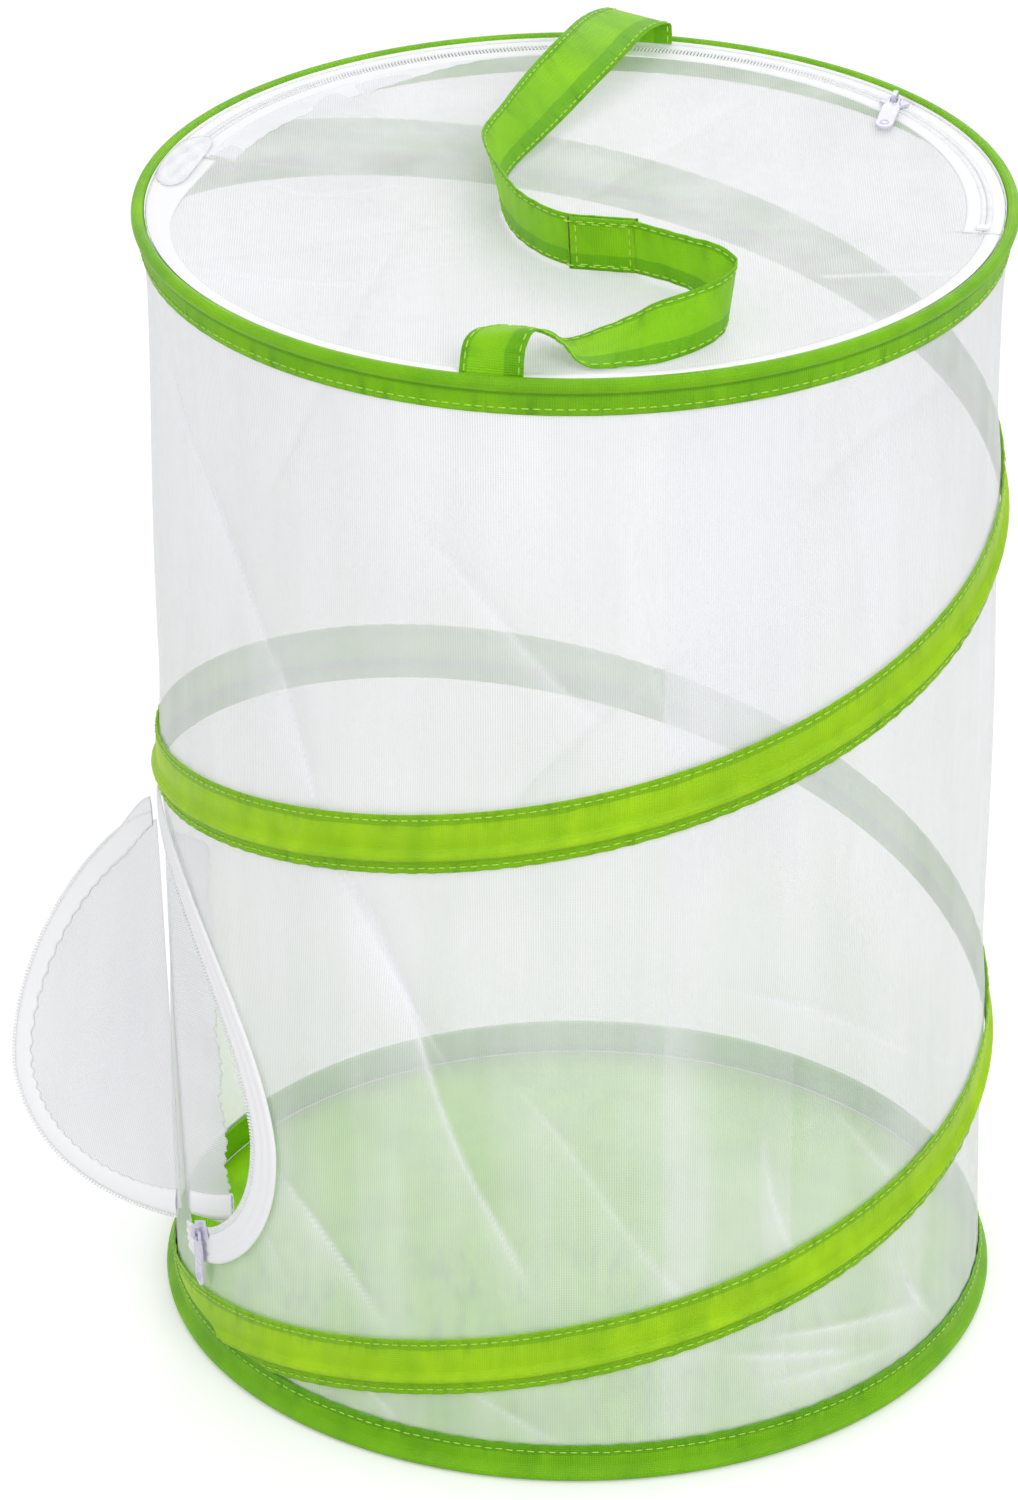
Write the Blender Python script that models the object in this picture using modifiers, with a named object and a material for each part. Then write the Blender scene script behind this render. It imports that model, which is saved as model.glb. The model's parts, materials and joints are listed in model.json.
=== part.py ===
"""Pop-up butterfly habitat: a net cage carried by two wire hoops and a spiral spring wire.

The lid unzips along its rear half, a carry strap lies on it in two halves, and a zipped door on the
left stands wide open. Metres, +Z up, origin under the middle of the floor, front towards -Y.
Angles round the cage are in degrees from +X, counter-clockwise seen from above.
"""
import math

import bmesh
import bpy
from mathutils import Matrix, Vector

# Cage
HEIGHT = 0.560
OUTER_RADIUS = 0.200
FLATS = 60                    # flats round one full turn of every round piece
GAP = 0.0003                  # clearance between pieces that touch
CLOTH = 0.0008                # ribbon and tape thickness
NET = 0.0008                  # netting thickness

# Wires and their ribbon casings
WIRE_RADIUS = 0.00125
FERRULE_CLEARANCE = 0.0004
FERRULE_WALL = 0.00035
FERRULE_LENGTH = 0.016
HOOP_JOINT_ANGLE = -60.0      # where each hoop's wire ends meet
HOOP_END_SPACE = 0.001
HOOP_BAND = 0.018             # ribbon height on the hoops
FLANGE_BEND = 0.0015          # below the wire, where the two layers come together
SPIRAL_BAND = 0.029           # ribbon height on the spiral
SPIRAL_SHOULDER = 0.004       # from the wire to where the ribbon lies flat
SPIRAL_TURNS = 2
SPIRAL_WIRE_DROP = 0.006      # wire below the middle of its ribbon
SPIRAL_RISE = 0.011           # the rear of the middle turn rides high
SPIRAL_RISE_TURN = 425.0
SPIRAL_DIP = 0.007            # the front of the first turn hangs low
SPIRAL_DIP_TURN = 262.0
SPIRAL_SWAY_SPAN = 65.0
SEAM_WIDTH = 0.008

# Lid and its zip
LID_DROP = 0.003              # lid net below the top of the hoop
ZIP_FROM = -12.0
ZIP_TO = 162.0
RING_TAPE_WIDTH = 0.00565     # zip tape between the hoop's casing and the coil
CHAIN_SLOT = 0.0014
COIL_WIDTH = 0.0015
COIL_HEIGHT = 0.0018
TAPE_WIDTH = 0.0065
LID_SPLIT_ANGLE = 0.6         # fixed lid stops short of the zip's ends
END_COVER_FROM = 156.0
END_COVER_TO = 174.0
END_COVER_INSET = 0.0085
SLIDER_ANGLE = 36.0
STOP_SIZE = (0.0040, 0.0050, 0.0012)

# Zip sliders and pulls
SLIDER_LENGTH = 0.011
SLIDER_WIDTH = 0.009
SLIDER_PLATE = 0.0013
SLIDER_WEB = 0.0005
BAIL_SPAN = 0.0072
BAIL_BAR = 0.0012
BAIL_WIDTH = 0.0022
BAIL_HEADROOM = 0.0034
PULL_LENGTH = 0.030
PULL_WIDTH = 0.0084
PULL_NECK = 0.0058
PULL_THICKNESS = 0.0014
PULL_WINDOW_FROM = 0.0007
PULL_WINDOW_TO = 0.0050
PULL_WINDOW_WIDTH = 0.0034
PULL_SHOULDER = 0.0080
LID_PULL_HEADING = 256.0
LID_PULL_DIP = 5.0
DOOR_PULL_DIP = 2.0

# Door in the left wall
DOOR_TOP = 0.265
DOOR_FOOT = 0.052
DOOR_LOW = 0.046              # lowest reach of the door's curve
DOOR_TIP = 0.140              # height where the door is widest
DOOR_TIP_ANGLE = 221.5
DOOR_CROWN_ANGLE = 185.0
DOOR_UPPER_POWER = 1.65
DOOR_LOWER_POWER = 2.15
DOOR_HINGE_TOP_ANGLE = 184.0
DOOR_HINGE_FOOT_ANGLE = 198.6
DOOR_OPEN = 142.0
DOOR_STEPS = 26
DOOR_TAPE_STANDOFF = 0.0006   # tape clear of the wall net
DOOR_TAPE_LAP = 0.003         # tape that lies on the wall net
DOOR_TAPE_REACH = 0.005       # tape that stands into the doorway
DOOR_HEM = 0.008
DOOR_HINGE_PROUD = 0.0022     # straight hinge's ends stand off the round wall
SEAM_SETBACK = 0.0006         # wall net's edge behind the hinge
FLAP_SEAM_CLEAR = 0.0008      # flap net's edge before the hinge
STRIP_SEAM_CLEAR = 0.002      # zip and hem before the hinge
FACING_WIDTH = 0.020
FACING_LAP = 0.006
FACING_INSET = 0.018
FACING_STEPS = 8
FACING_HEADING = 325.0
DOOR_SLIDER_BACK = 4          # zip points between the zip's lower end and the parked slider

# Carry strap
STRAP_WIDTH = 0.028
STRAP_SMOOTH = 3
# Stations are the edge that stands on the lid and the edge above it: across and along in hoop radii,
# and height over the hoop's top in strap widths.
REAR_STRAP = [
    ((0.2400, 0.9320, -0.068), (0.1025, 0.9570, -0.068)),
    ((0.2400, 0.9310, 0.161), (0.1025, 0.9560, 0.214)),
    ((0.2325, 0.9225, 0.321), (0.0950, 0.9450, 0.536)),
    ((0.1750, 0.8200, 0.429), (0.0425, 0.8500, 0.732)),
    ((0.0770, 0.6170, 0.304), (-0.0175, 0.6450, 0.936)),
    ((-0.0020, 0.4605, 0.161), (-0.0925, 0.4725, 0.839)),
    ((-0.0770, 0.3070, 0.036), (-0.1610, 0.2800, 0.786)),
    ((-0.1450, 0.1610, -0.068), (-0.2060, 0.1265, 0.807)),
    ((-0.1645, 0.0115, -0.068), (-0.1995, -0.0065, 0.893)),
    ((-0.1560, -0.1130, -0.068), (-0.1685, -0.1395, 0.911)),
    ((-0.1230, -0.2255, -0.068), (-0.1270, -0.2625, 0.893)),
    ((-0.0650, -0.3200, -0.068), (-0.0675, -0.3550, 0.900)),
]
LAP_FROM = (0.0000, -0.3700)  # straight stretch where the halves lie face to face
LAP_TO = (0.1250, -0.3950)
LAP_LEAN = 13.0               # degrees that the lap leans to the front
LAP_LEAD = 0.002              # straight ribbon past each end of the tapes
PATCH_SIDE = 0.022
PATCH_THICKNESS = 0.0006
FRONT_STRAP = [
    ((0.2450, -0.5045, -0.068), (0.2435, -0.5310, 0.914)),
    ((0.3145, -0.6550, -0.068), (0.3340, -0.6110, 0.871)),
    ((0.3075, -0.7440, -0.068), (0.3320, -0.6870, 0.875)),
    ((0.2580, -0.8210, -0.068), (0.2760, -0.7610, 0.857)),
    ((0.1795, -0.8815, -0.068), (0.1895, -0.7985, 0.732)),
    ((0.1065, -0.9010, -0.068), (0.1130, -0.7760, 0.382)),
    ((0.0420, -0.9100, -0.068), (0.0400, -0.7735, 0.143)),
    ((-0.0005, -0.9045, 0.000), (-0.0290, -0.7670, -0.036)),
    ((-0.0385, -0.8890, 0.286), (-0.0780, -0.7585, 0.089)),
    ((-0.0920, -0.9205, 0.607), (-0.1875, -0.8255, 0.375)),
    ((-0.1175, -0.9425, 0.396), (-0.2425, -0.8900, 0.375)),
    ((-0.1215, -0.9555, -0.068), (-0.2590, -0.9280, -0.068)),
]

# Places worked out from the sizes above
CAVITY = WIRE_RADIUS + FERRULE_CLEARANCE + FERRULE_WALL + GAP
BULGE = CAVITY + CLOTH
WIRE_PATH = OUTER_RADIUS - BULGE
NET_OUTER = WIRE_PATH - WIRE_RADIUS - GAP
NET_MIDDLE = NET_OUTER - NET / 2
NET_INNER = NET_OUTER - NET
BAND_OUTER = NET_OUTER + GAP + CLOTH
BAND_INNER = NET_INNER - GAP - CLOTH
WIRE_TOP = HEIGHT - BULGE
FLANGE_DROP = BULGE + FLANGE_BEND
NET_EDGE = WIRE_TOP - FLANGE_DROP - GAP
LID_HEIGHT = HEIGHT - LID_DROP
STRAP_FLOOR = LID_HEIGHT + CLOTH / 2 + GAP
STEP_ANGLE = 360.0 / FLATS
ZIP_MIDDLE = (ZIP_FROM + ZIP_TO) / 2
HEM_OUTER = BAND_INNER - GAP
RING_TAPE_INNER = HEM_OUTER - RING_TAPE_WIDTH
RING_COIL_INNER = RING_TAPE_INNER - GAP - COIL_WIDTH
ZIP_RADIUS = RING_COIL_INNER - CHAIN_SLOT / 2
FLAP_COIL_OUTER = ZIP_RADIUS - CHAIN_SLOT / 2
FLAP_TAPE_OUTER = FLAP_COIL_OUTER - COIL_WIDTH - GAP
FLAP_TAPE_INNER = FLAP_TAPE_OUTER - TAPE_WIDTH
DOOR_TAPE_PATH = NET_OUTER + DOOR_TAPE_STANDOFF + CLOTH / 2
DOOR_CHAIN_INSET = DOOR_TAPE_REACH + GAP + COIL_WIDTH + CHAIN_SLOT / 2

parts = None
cutters = None


def clear_scene():
    """Start from an empty scene with a collection for the parts and one for the cutters."""
    global parts, cutters
    for item in list(bpy.data.objects):
        bpy.data.objects.remove(item, do_unlink=True)
    parts = bpy.data.collections.new("butterfly_habitat")
    cutters = bpy.data.collections.new("cutters")
    bpy.context.scene.collection.children.link(parts)
    bpy.context.scene.collection.children.link(cutters)


def finish(name, colour, roughness, metallic=0.0):
    """A plain material of one finish, shared by every piece that has it."""
    made = bpy.data.materials.get(name)
    if made is None:
        made = bpy.data.materials.new(name)
        made.use_nodes = True
        shader = made.node_tree.nodes["Principled BSDF"]
        shader.inputs["Base Color"].default_value = (*colour, 1.0)
        shader.inputs["Roughness"].default_value = roughness
        shader.inputs["Metallic"].default_value = metallic
    return made


def green_ribbon():
    return finish("green_ribbon", (0.26, 0.56, 0.014), 0.45)


def white_net():
    return finish("white_net", (0.88, 0.88, 0.92), 0.8)


def white_tape():
    return finish("white_tape", (0.90, 0.90, 0.93), 0.7)


def white_coil():
    return finish("white_coil", (0.92, 0.92, 0.94), 0.4)


def coated_slider():
    return finish("coated_slider", (0.86, 0.84, 0.93), 0.35)


def spring_steel():
    return finish("spring_steel", (0.45, 0.45, 0.46), 0.35, 1.0)


def add_part(name, data, material):
    """Put a mesh or curve into the scene as one named part."""
    data.materials.append(material)
    made = bpy.data.objects.new(name, data)
    parts.objects.link(made)
    if made.type == "MESH":
        data.shade_smooth()
        data.set_sharp_from_angle(angle=math.radians(35))
    return made


def set_pivot(made, pivot, turn=None):
    """Move a part's origin to its joint's axis, and turn it there if asked."""
    made.data.transform(Matrix.Translation(-pivot))
    made.matrix_world = Matrix.Translation(pivot) @ (turn or Matrix.Identity(4))


def around(radius, angle, height):
    """A point on the flats of a ring about the cage's axis; the radius is that of its corners."""
    turn = math.radians(angle)
    half_flat = math.radians(STEP_ANGLE / 2)
    reach = radius * math.cos(half_flat) / math.cos(turn % (2 * half_flat) - half_flat)
    return Vector((reach * math.cos(turn), reach * math.sin(turn), height))


def as_mesh(made):
    """Turn a curve object into a mesh object with its caps welded."""
    bpy.context.view_layer.update()
    depsgraph = bpy.context.evaluated_depsgraph_get()
    mesh = bpy.data.meshes.new_from_object(made.evaluated_get(depsgraph))
    work = bmesh.new()
    work.from_mesh(mesh)
    bmesh.ops.remove_doubles(work, verts=work.verts, dist=1e-6)
    bmesh.ops.recalc_face_normals(work, faces=work.faces)
    if work.calc_volume(signed=True) < 0:
        bmesh.ops.reverse_faces(work, faces=work.faces)
    work.to_mesh(mesh)
    work.free()
    solid = bpy.data.objects.new(made.name + "_solid", mesh)
    solid.matrix_world = made.matrix_world
    parts.objects.link(solid)
    name = made.name
    bpy.data.objects.remove(made, do_unlink=True)
    solid.name = name
    return solid


def boolean(made, operation, cutter):
    """Cut a part by a hidden guide, or join the guide to it."""
    for holder in list(cutter.users_collection):
        holder.objects.unlink(cutter)
    cutters.objects.link(cutter)
    cutter.hide_render = True
    cutter.display_type = "WIRE"
    change = made.modifiers.new(operation.lower(), "BOOLEAN")
    change.operation = operation
    change.object = cutter


def turned(name, profile, material):
    """A closed outline of (radius, height) turned once round the cage's axis."""
    work = bmesh.new()
    corners = [work.verts.new((radius, 0.0, height)) for radius, height in profile]
    for first, second in zip(corners, corners[1:] + corners[:1]):
        work.edges.new((first, second))
    mesh = bpy.data.meshes.new(name)
    work.to_mesh(mesh)
    work.free()
    made = add_part(name, mesh, material)
    screw = made.modifiers.new("turn", "SCREW")
    screw.steps = FLATS
    screw.render_steps = FLATS
    screw.use_merge_vertices = True
    screw.merge_threshold = 1e-5
    return made


def swept(name, sections, material):
    """A solid through a row of like sections, closed by a flat face at each end."""
    work = bmesh.new()
    rings = [[work.verts.new(point) for point in section] for section in sections]
    for ring, following in zip(rings, rings[1:]):
        for here in range(len(ring)):
            there = (here + 1) % len(ring)
            work.faces.new((ring[here], ring[there], following[there], following[here]))
    work.faces.new(rings[0])
    work.faces.new(rings[-1])
    bmesh.ops.recalc_face_normals(work, faces=work.faces)
    mesh = bpy.data.meshes.new(name)
    work.to_mesh(mesh)
    work.free()
    return add_part(name, mesh, material)


def arc_strip(name, inner, outer, low, high, start, end, material):
    """A flat strip bent round the cage's axis, from one angle to another."""
    count = max(1, round((end - start) / STEP_ANGLE))
    corners = [(inner, low), (outer, low), (outer, high), (inner, high)]
    sections = []
    for step in range(count + 1):
        angle = start + (end - start) * step / count
        sections.append([around(radius, angle, height) for radius, height in corners])
    return swept(name, sections, material)


def sheet(name, rows, thickness, material):
    """Cloth through a grid of points on its middle surface."""
    width = len(rows[0])
    corners = [point for row in rows for point in row]
    faces = []
    for line in range(len(rows) - 1):
        for place in range(width - 1):
            here = line * width + place
            faces.append((here, here + 1, here + width + 1, here + width))
    mesh = bpy.data.meshes.new(name)
    mesh.from_pydata(corners, [], faces)
    made = add_part(name, mesh, material)
    solid = made.modifiers.new("thickness", "SOLIDIFY")
    solid.thickness = thickness
    solid.offset = 0.0
    return made


def wire(name, points, material):
    """A bare wire through a row of points."""
    curve = bpy.data.curves.new(name, "CURVE")
    curve.dimensions = "3D"
    curve.bevel_depth = WIRE_RADIUS
    curve.bevel_resolution = 1
    curve.use_fill_caps = True
    line = curve.splines.new("POLY")
    line.points.add(len(points) - 1)
    for place, point in zip(line.points, points):
        place.co = (*point, 1.0)
    return add_part(name, curve, material)


def flat_outline(name, outlines, thickness, height, material):
    """A flat piece from closed outlines in the XY plane; a second outline is a window."""
    curve = bpy.data.curves.new(name, "CURVE")
    curve.dimensions = "2D"
    curve.fill_mode = "BOTH"
    curve.extrude = thickness / 2
    for outline in outlines:
        line = curve.splines.new("POLY")
        line.points.add(len(outline) - 1)
        line.use_cyclic_u = True
        for place, (across, along) in zip(line.points, outline):
            place.co = (across, along, 0.0, 1.0)
    made = add_part(name, curve, material)
    made.location.z = height
    return as_mesh(made)


def hoop_profile():
    """Ribbon folded over the top hoop's wire and down both sides of the wall net."""
    foot = HEIGHT - HOOP_BAND
    bend = WIRE_TOP - FLANGE_DROP

    def bulge(radius, angle):
        turn = math.radians(angle)
        return (WIRE_PATH + radius * math.cos(turn), WIRE_TOP + radius * math.sin(turn))

    outside = [bulge(BULGE, 90), bulge(BULGE, 35), bulge(BULGE, -20), (BAND_OUTER, bend), (BAND_OUTER, foot)]
    outer_lining = [(BAND_OUTER - CLOTH, foot), (BAND_OUTER - CLOTH, bend)]
    channel = [bulge(CAVITY, -20), bulge(CAVITY, 35), bulge(CAVITY, 90), bulge(CAVITY, 145)]
    inner_lining = [(BAND_INNER + CLOTH, bend), (BAND_INNER + CLOTH, foot)]
    inside = [(BAND_INNER, foot), (BAND_INNER, bend), bulge(BULGE, 145)]
    return outside + outer_lining + channel + inner_lining + inside


def add_hoops():
    """The two hoops: ribbon casing, wire and the ferrule that closes each wire."""
    profile = hoop_profile()
    turned("top_casing", profile, green_ribbon())
    turned("bottom_casing", [(radius, HEIGHT - height) for radius, height in reversed(profile)], green_ribbon())
    half_space = math.degrees(HOOP_END_SPACE / 2 / WIRE_PATH)
    angles = [HOOP_JOINT_ANGLE + STEP_ANGLE * step for step in range(1, FLATS)]
    angles = [HOOP_JOINT_ANGLE + half_space] + angles + [HOOP_JOINT_ANGLE + 360.0 - half_space]
    for name, height in (("top_hoop", WIRE_TOP), ("bottom_hoop", HEIGHT - WIRE_TOP)):
        wire(name + "_wire", [around(WIRE_PATH, angle, height) for angle in angles], spring_steel())
        add_ferrule(name + "_ferrule", height)


def add_ferrule(name, height):
    """A rolled sleeve, slit along its top, round the two ends of a hoop's wire."""
    bore = WIRE_RADIUS + FERRULE_CLEARANCE
    turns = [math.radians(100 + 340 * step / 8) for step in range(9)]
    section = [(bore + FERRULE_WALL, turn) for turn in turns] + [(bore, turn) for turn in reversed(turns)]
    half_angle = math.degrees(FERRULE_LENGTH / 2 / WIRE_PATH)
    sections = []
    for angle in (HOOP_JOINT_ANGLE - half_angle, HOOP_JOINT_ANGLE, HOOP_JOINT_ANGLE + half_angle):
        ring = []
        for radius, turn in section:
            reach = WIRE_PATH + radius * math.cos(turn)
            ring.append(around(reach, angle, height + radius * math.sin(turn)))
        sections.append(ring)
    swept(name, sections, spring_steel())


def spiral_angle(turn):
    """Angle round the cage after so many degrees along the spiral, from the left and by the rear."""
    return 180.0 - turn


def spiral_height(turn):
    """Middle of the spiral ribbon, with the uneven hang of a spring that carries limp net."""
    even = HEIGHT * (1.0 - turn / (360.0 * SPIRAL_TURNS))
    rise = SPIRAL_RISE * math.exp(-((turn - SPIRAL_RISE_TURN) / SPIRAL_SWAY_SPAN) ** 2)
    dip = SPIRAL_DIP * math.exp(-((turn - SPIRAL_DIP_TURN) / SPIRAL_SWAY_SPAN) ** 2)
    return even + rise - dip


def spiral_profile():
    """Ribbon section on the outside of the wall net, bulging over the wire."""
    inner = NET_OUTER + GAP
    half = SPIRAL_BAND / 2
    channel = WIRE_RADIUS + GAP
    shoulder = SPIRAL_SHOULDER
    middle = -SPIRAL_WIRE_DROP

    def bulge(radius, angle):
        turn = math.radians(angle)
        return (WIRE_PATH + radius * math.cos(turn), middle + radius * math.sin(turn))

    outside = [(BAND_OUTER, half), (BAND_OUTER, middle + shoulder), bulge(channel + CLOTH, 40)]
    outside += [bulge(channel + CLOTH, 0), bulge(channel + CLOTH, -40), (BAND_OUTER, middle - shoulder)]
    outside += [(BAND_OUTER, -half)]
    inside = [(inner, -half), (inner, middle - shoulder), bulge(channel, -40), bulge(channel, 0)]
    inside += [bulge(channel, 40), (inner, middle + shoulder), (inner, half)]
    return outside + inside


def add_spiral():
    """The spiral wire and its ribbon, stopping short of the hoops' casings."""
    profile = spiral_profile()
    sections = []
    for step in range(FLATS * SPIRAL_TURNS + 1):
        turn = STEP_ANGLE * step
        middle = spiral_height(turn)
        sections.append([around(radius, spiral_angle(turn), middle + rise) for radius, rise in profile])
    ribbon = swept("spiral_casing", sections, green_ribbon())
    reach = 2 * SPIRAL_BAND
    clear = HOOP_BAND + GAP
    inner = BAND_INNER - reach
    outer = OUTER_RADIUS + reach
    for name, low, high in (("top_trim", HEIGHT - clear, HEIGHT + reach), ("bottom_trim", -reach, clear)):
        outline = [(outer, high), (outer, low), (inner, low), (inner, high)]
        boolean(ribbon, "DIFFERENCE", turned(name, outline, green_ribbon()))
    points = []
    for step in range(FLATS * SPIRAL_TURNS + 1):
        turn = STEP_ANGLE * step
        height = spiral_height(turn) - SPIRAL_WIRE_DROP
        if clear + WIRE_RADIUS < height < HEIGHT - clear - WIRE_RADIUS:
            points.append(around(WIRE_PATH, spiral_angle(turn), height))
    wire("spiral_wire", points, spring_steel())


def floor_radius():
    """Reach of the floor's upper edge to the first flat of the bottom casing, less the clearance."""
    bend = math.radians(145)
    run = -math.cos(bend)
    rise = 1.0 - math.sin(bend)
    return WIRE_PATH - CLOTH * run / rise - GAP * math.hypot(run, rise) / rise


def add_wall_and_floor():
    """The wall net with its doorway, its seam, and the green floor."""
    foot = HEIGHT - NET_EDGE
    profile = [(NET_OUTER, NET_EDGE), (NET_OUTER, foot), (NET_INNER, foot), (NET_INNER, NET_EDGE)]
    wall = turned("wall_mesh", profile, white_net())
    rows = door_rows(0.0, NET_MIDDLE)
    boolean(wall, "DIFFERENCE", sheet("doorway", rows, 4 * BULGE, white_net()))
    half_angle = math.degrees(SEAM_WIDTH / 2 / NET_INNER)
    inner = NET_INNER - GAP - CLOTH
    low = HOOP_BAND + GAP
    arc_strip("wall_seam", inner, inner + CLOTH, low, HEIGHT - low,
              HOOP_JOINT_ANGLE - half_angle, HOOP_JOINT_ANGLE + half_angle, white_net())
    bpy.ops.mesh.primitive_cylinder_add(vertices=FLATS, radius=floor_radius(), depth=CLOTH,
                                        location=(0.0, 0.0, CLOTH / 2))
    floor = bpy.context.active_object
    for holder in list(floor.users_collection):
        holder.objects.unlink(floor)
    floor.name = "floor_panel"
    floor.data.materials.append(green_ribbon())
    parts.objects.link(floor)


def hinge_angle(height):
    """Angle of the door's slanting hinge seam at a height."""
    share = (height - DOOR_LOW) / (DOOR_TOP - DOOR_LOW)
    return DOOR_HINGE_FOOT_ANGLE + (DOOR_HINGE_TOP_ANGLE - DOOR_HINGE_FOOT_ANGLE) * share


def zip_angle(height):
    """Angle of the door's curved zip side at a height."""
    if height > DOOR_TIP:
        share = (height - DOOR_TIP) / (DOOR_TOP - DOOR_TIP)
        power = DOOR_UPPER_POWER
    else:
        share = (DOOR_TIP - height) / (DOOR_TIP - DOOR_LOW)
        power = DOOR_LOWER_POWER
    reach = max(0.0, 1.0 - share ** power) ** (1.0 / power)
    return DOOR_CROWN_ANGLE + (DOOR_TIP_ANGLE - DOOR_CROWN_ANGLE) * reach


def door_curve(inset):
    """The zip side from its top to its foot, moved in by an inset, as (angle, height)."""
    per_degree = math.radians(1.0) * NET_MIDDLE
    line = []
    for step in range(DOOR_STEPS + 1):
        swing = math.cos(math.pi * step / DOOR_STEPS)
        reach = DOOR_TOP - DOOR_TIP if swing > 0 else DOOR_TIP - DOOR_FOOT
        height = DOOR_TIP + reach * swing
        line.append(Vector((zip_angle(height) * per_degree, height)))
    moved = []
    for step, point in enumerate(line):
        along = line[min(step + 1, DOOR_STEPS)] - line[max(step - 1, 0)]
        inward = Vector((along.y, -along.x)).normalized()
        place = point + inward * inset
        moved.append((place.x / per_degree, place.y))
    return moved


def past_seam(angle, height, clear):
    """Whether a point of the door is on the zip's side of the hinge seam, by a clearance."""
    return angle > hinge_angle(height) + math.degrees(clear / NET_MIDDLE)


def door_rows(inset, radius, columns=8):
    """Rows of points over the doorway, from behind its hinge seam to its zip side."""
    setback = math.degrees(SEAM_SETBACK / NET_MIDDLE)
    rows = []
    for angle, height in door_curve(inset):
        start = hinge_angle(height) - setback
        rows.append([around(radius, start + (angle - start) * place / columns, height)
                     for place in range(columns + 1)])
    return rows


def flap_rows(inset, columns=8):
    """Rows of points over the flap's net, whose hinge edge is straight."""
    foot, axis = door_hinge()
    rows = []
    for angle, height in door_curve(inset):
        if not past_seam(angle, height, DOOR_HEM):
            continue
        start = hinge_angle(height)
        row = [around(NET_MIDDLE, start + (angle - start) * place / columns, height)
               for place in range(1, columns + 1)]
        seam = foot + axis * ((height - foot.z) / axis.z)
        rows.append([seam + (row[0] - seam).normalized() * FLAP_SEAM_CLEAR] + row)
    return rows


def door_strip(name, first, second, radius, thickness, material):
    """A strip that follows the door's zip side between two insets and ends at the hinge seam."""
    rows = []
    for outer, inner in zip(door_curve(first), door_curve(second)):
        if past_seam(*inner, STRIP_SEAM_CLEAR):
            rows.append([around(radius, *outer), around(radius, *inner)])
    return sheet(name, rows, thickness, material)


def door_hinge():
    """The door's hinge axis: its foot and its direction upwards."""
    radius = NET_MIDDLE + DOOR_HINGE_PROUD
    foot = around(radius, hinge_angle(DOOR_FOOT), DOOR_FOOT)
    return foot, (around(radius, hinge_angle(DOOR_TOP), DOOR_TOP) - foot).normalized()


def add_door():
    """The doorway's half of the zip on the wall, and the open flap with the other half."""
    coil_inset = DOOR_TAPE_REACH + GAP
    door_strip("door_wall_tape", -DOOR_TAPE_LAP, DOOR_TAPE_REACH, DOOR_TAPE_PATH, CLOTH, white_tape())
    door_strip("door_wall_coil", coil_inset, coil_inset + COIL_WIDTH, DOOR_TAPE_PATH, COIL_HEIGHT, white_coil())
    flap_coil = coil_inset + COIL_WIDTH + CHAIN_SLOT
    hem = flap_coil + COIL_WIDTH + GAP
    pieces = [door_strip("door_flap_coil", flap_coil, flap_coil + COIL_WIDTH, NET_MIDDLE, COIL_HEIGHT, white_coil())]
    pieces.append(door_strip("door_flap_hem", hem, hem + DOOR_HEM, NET_MIDDLE, CLOTH, white_tape()))
    pieces.append(sheet("door_flap_net", flap_rows(hem + DOOR_HEM + GAP), NET, white_net()))
    foot, axis = door_hinge()
    for piece in pieces:
        set_pivot(piece, foot, Matrix.Rotation(math.radians(-DOOR_OPEN), 4, axis))
    add_door_facing()


def add_door_facing():
    """Raw edge of net that laps the wall's inner side at the hinge seam and hangs into the doorway."""
    turn = math.radians(FACING_HEADING)
    inward = Vector((math.cos(turn), math.sin(turn), 0.0))
    radius = NET_INNER - GAP - NET / 2
    lap = math.degrees(FACING_LAP / NET_MIDDLE)
    rows = []
    for step in range(FACING_STEPS + 1):
        height = DOOR_FOOT + FACING_INSET + (DOOR_TOP - DOOR_FOOT - 2 * FACING_INSET) * step / FACING_STEPS
        edge = around(radius, hinge_angle(height), height)
        rows.append([around(radius, hinge_angle(height) - lap, height), edge, edge + inward * FACING_WIDTH])
    sheet("door_facing", rows, NET, white_net())


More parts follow.
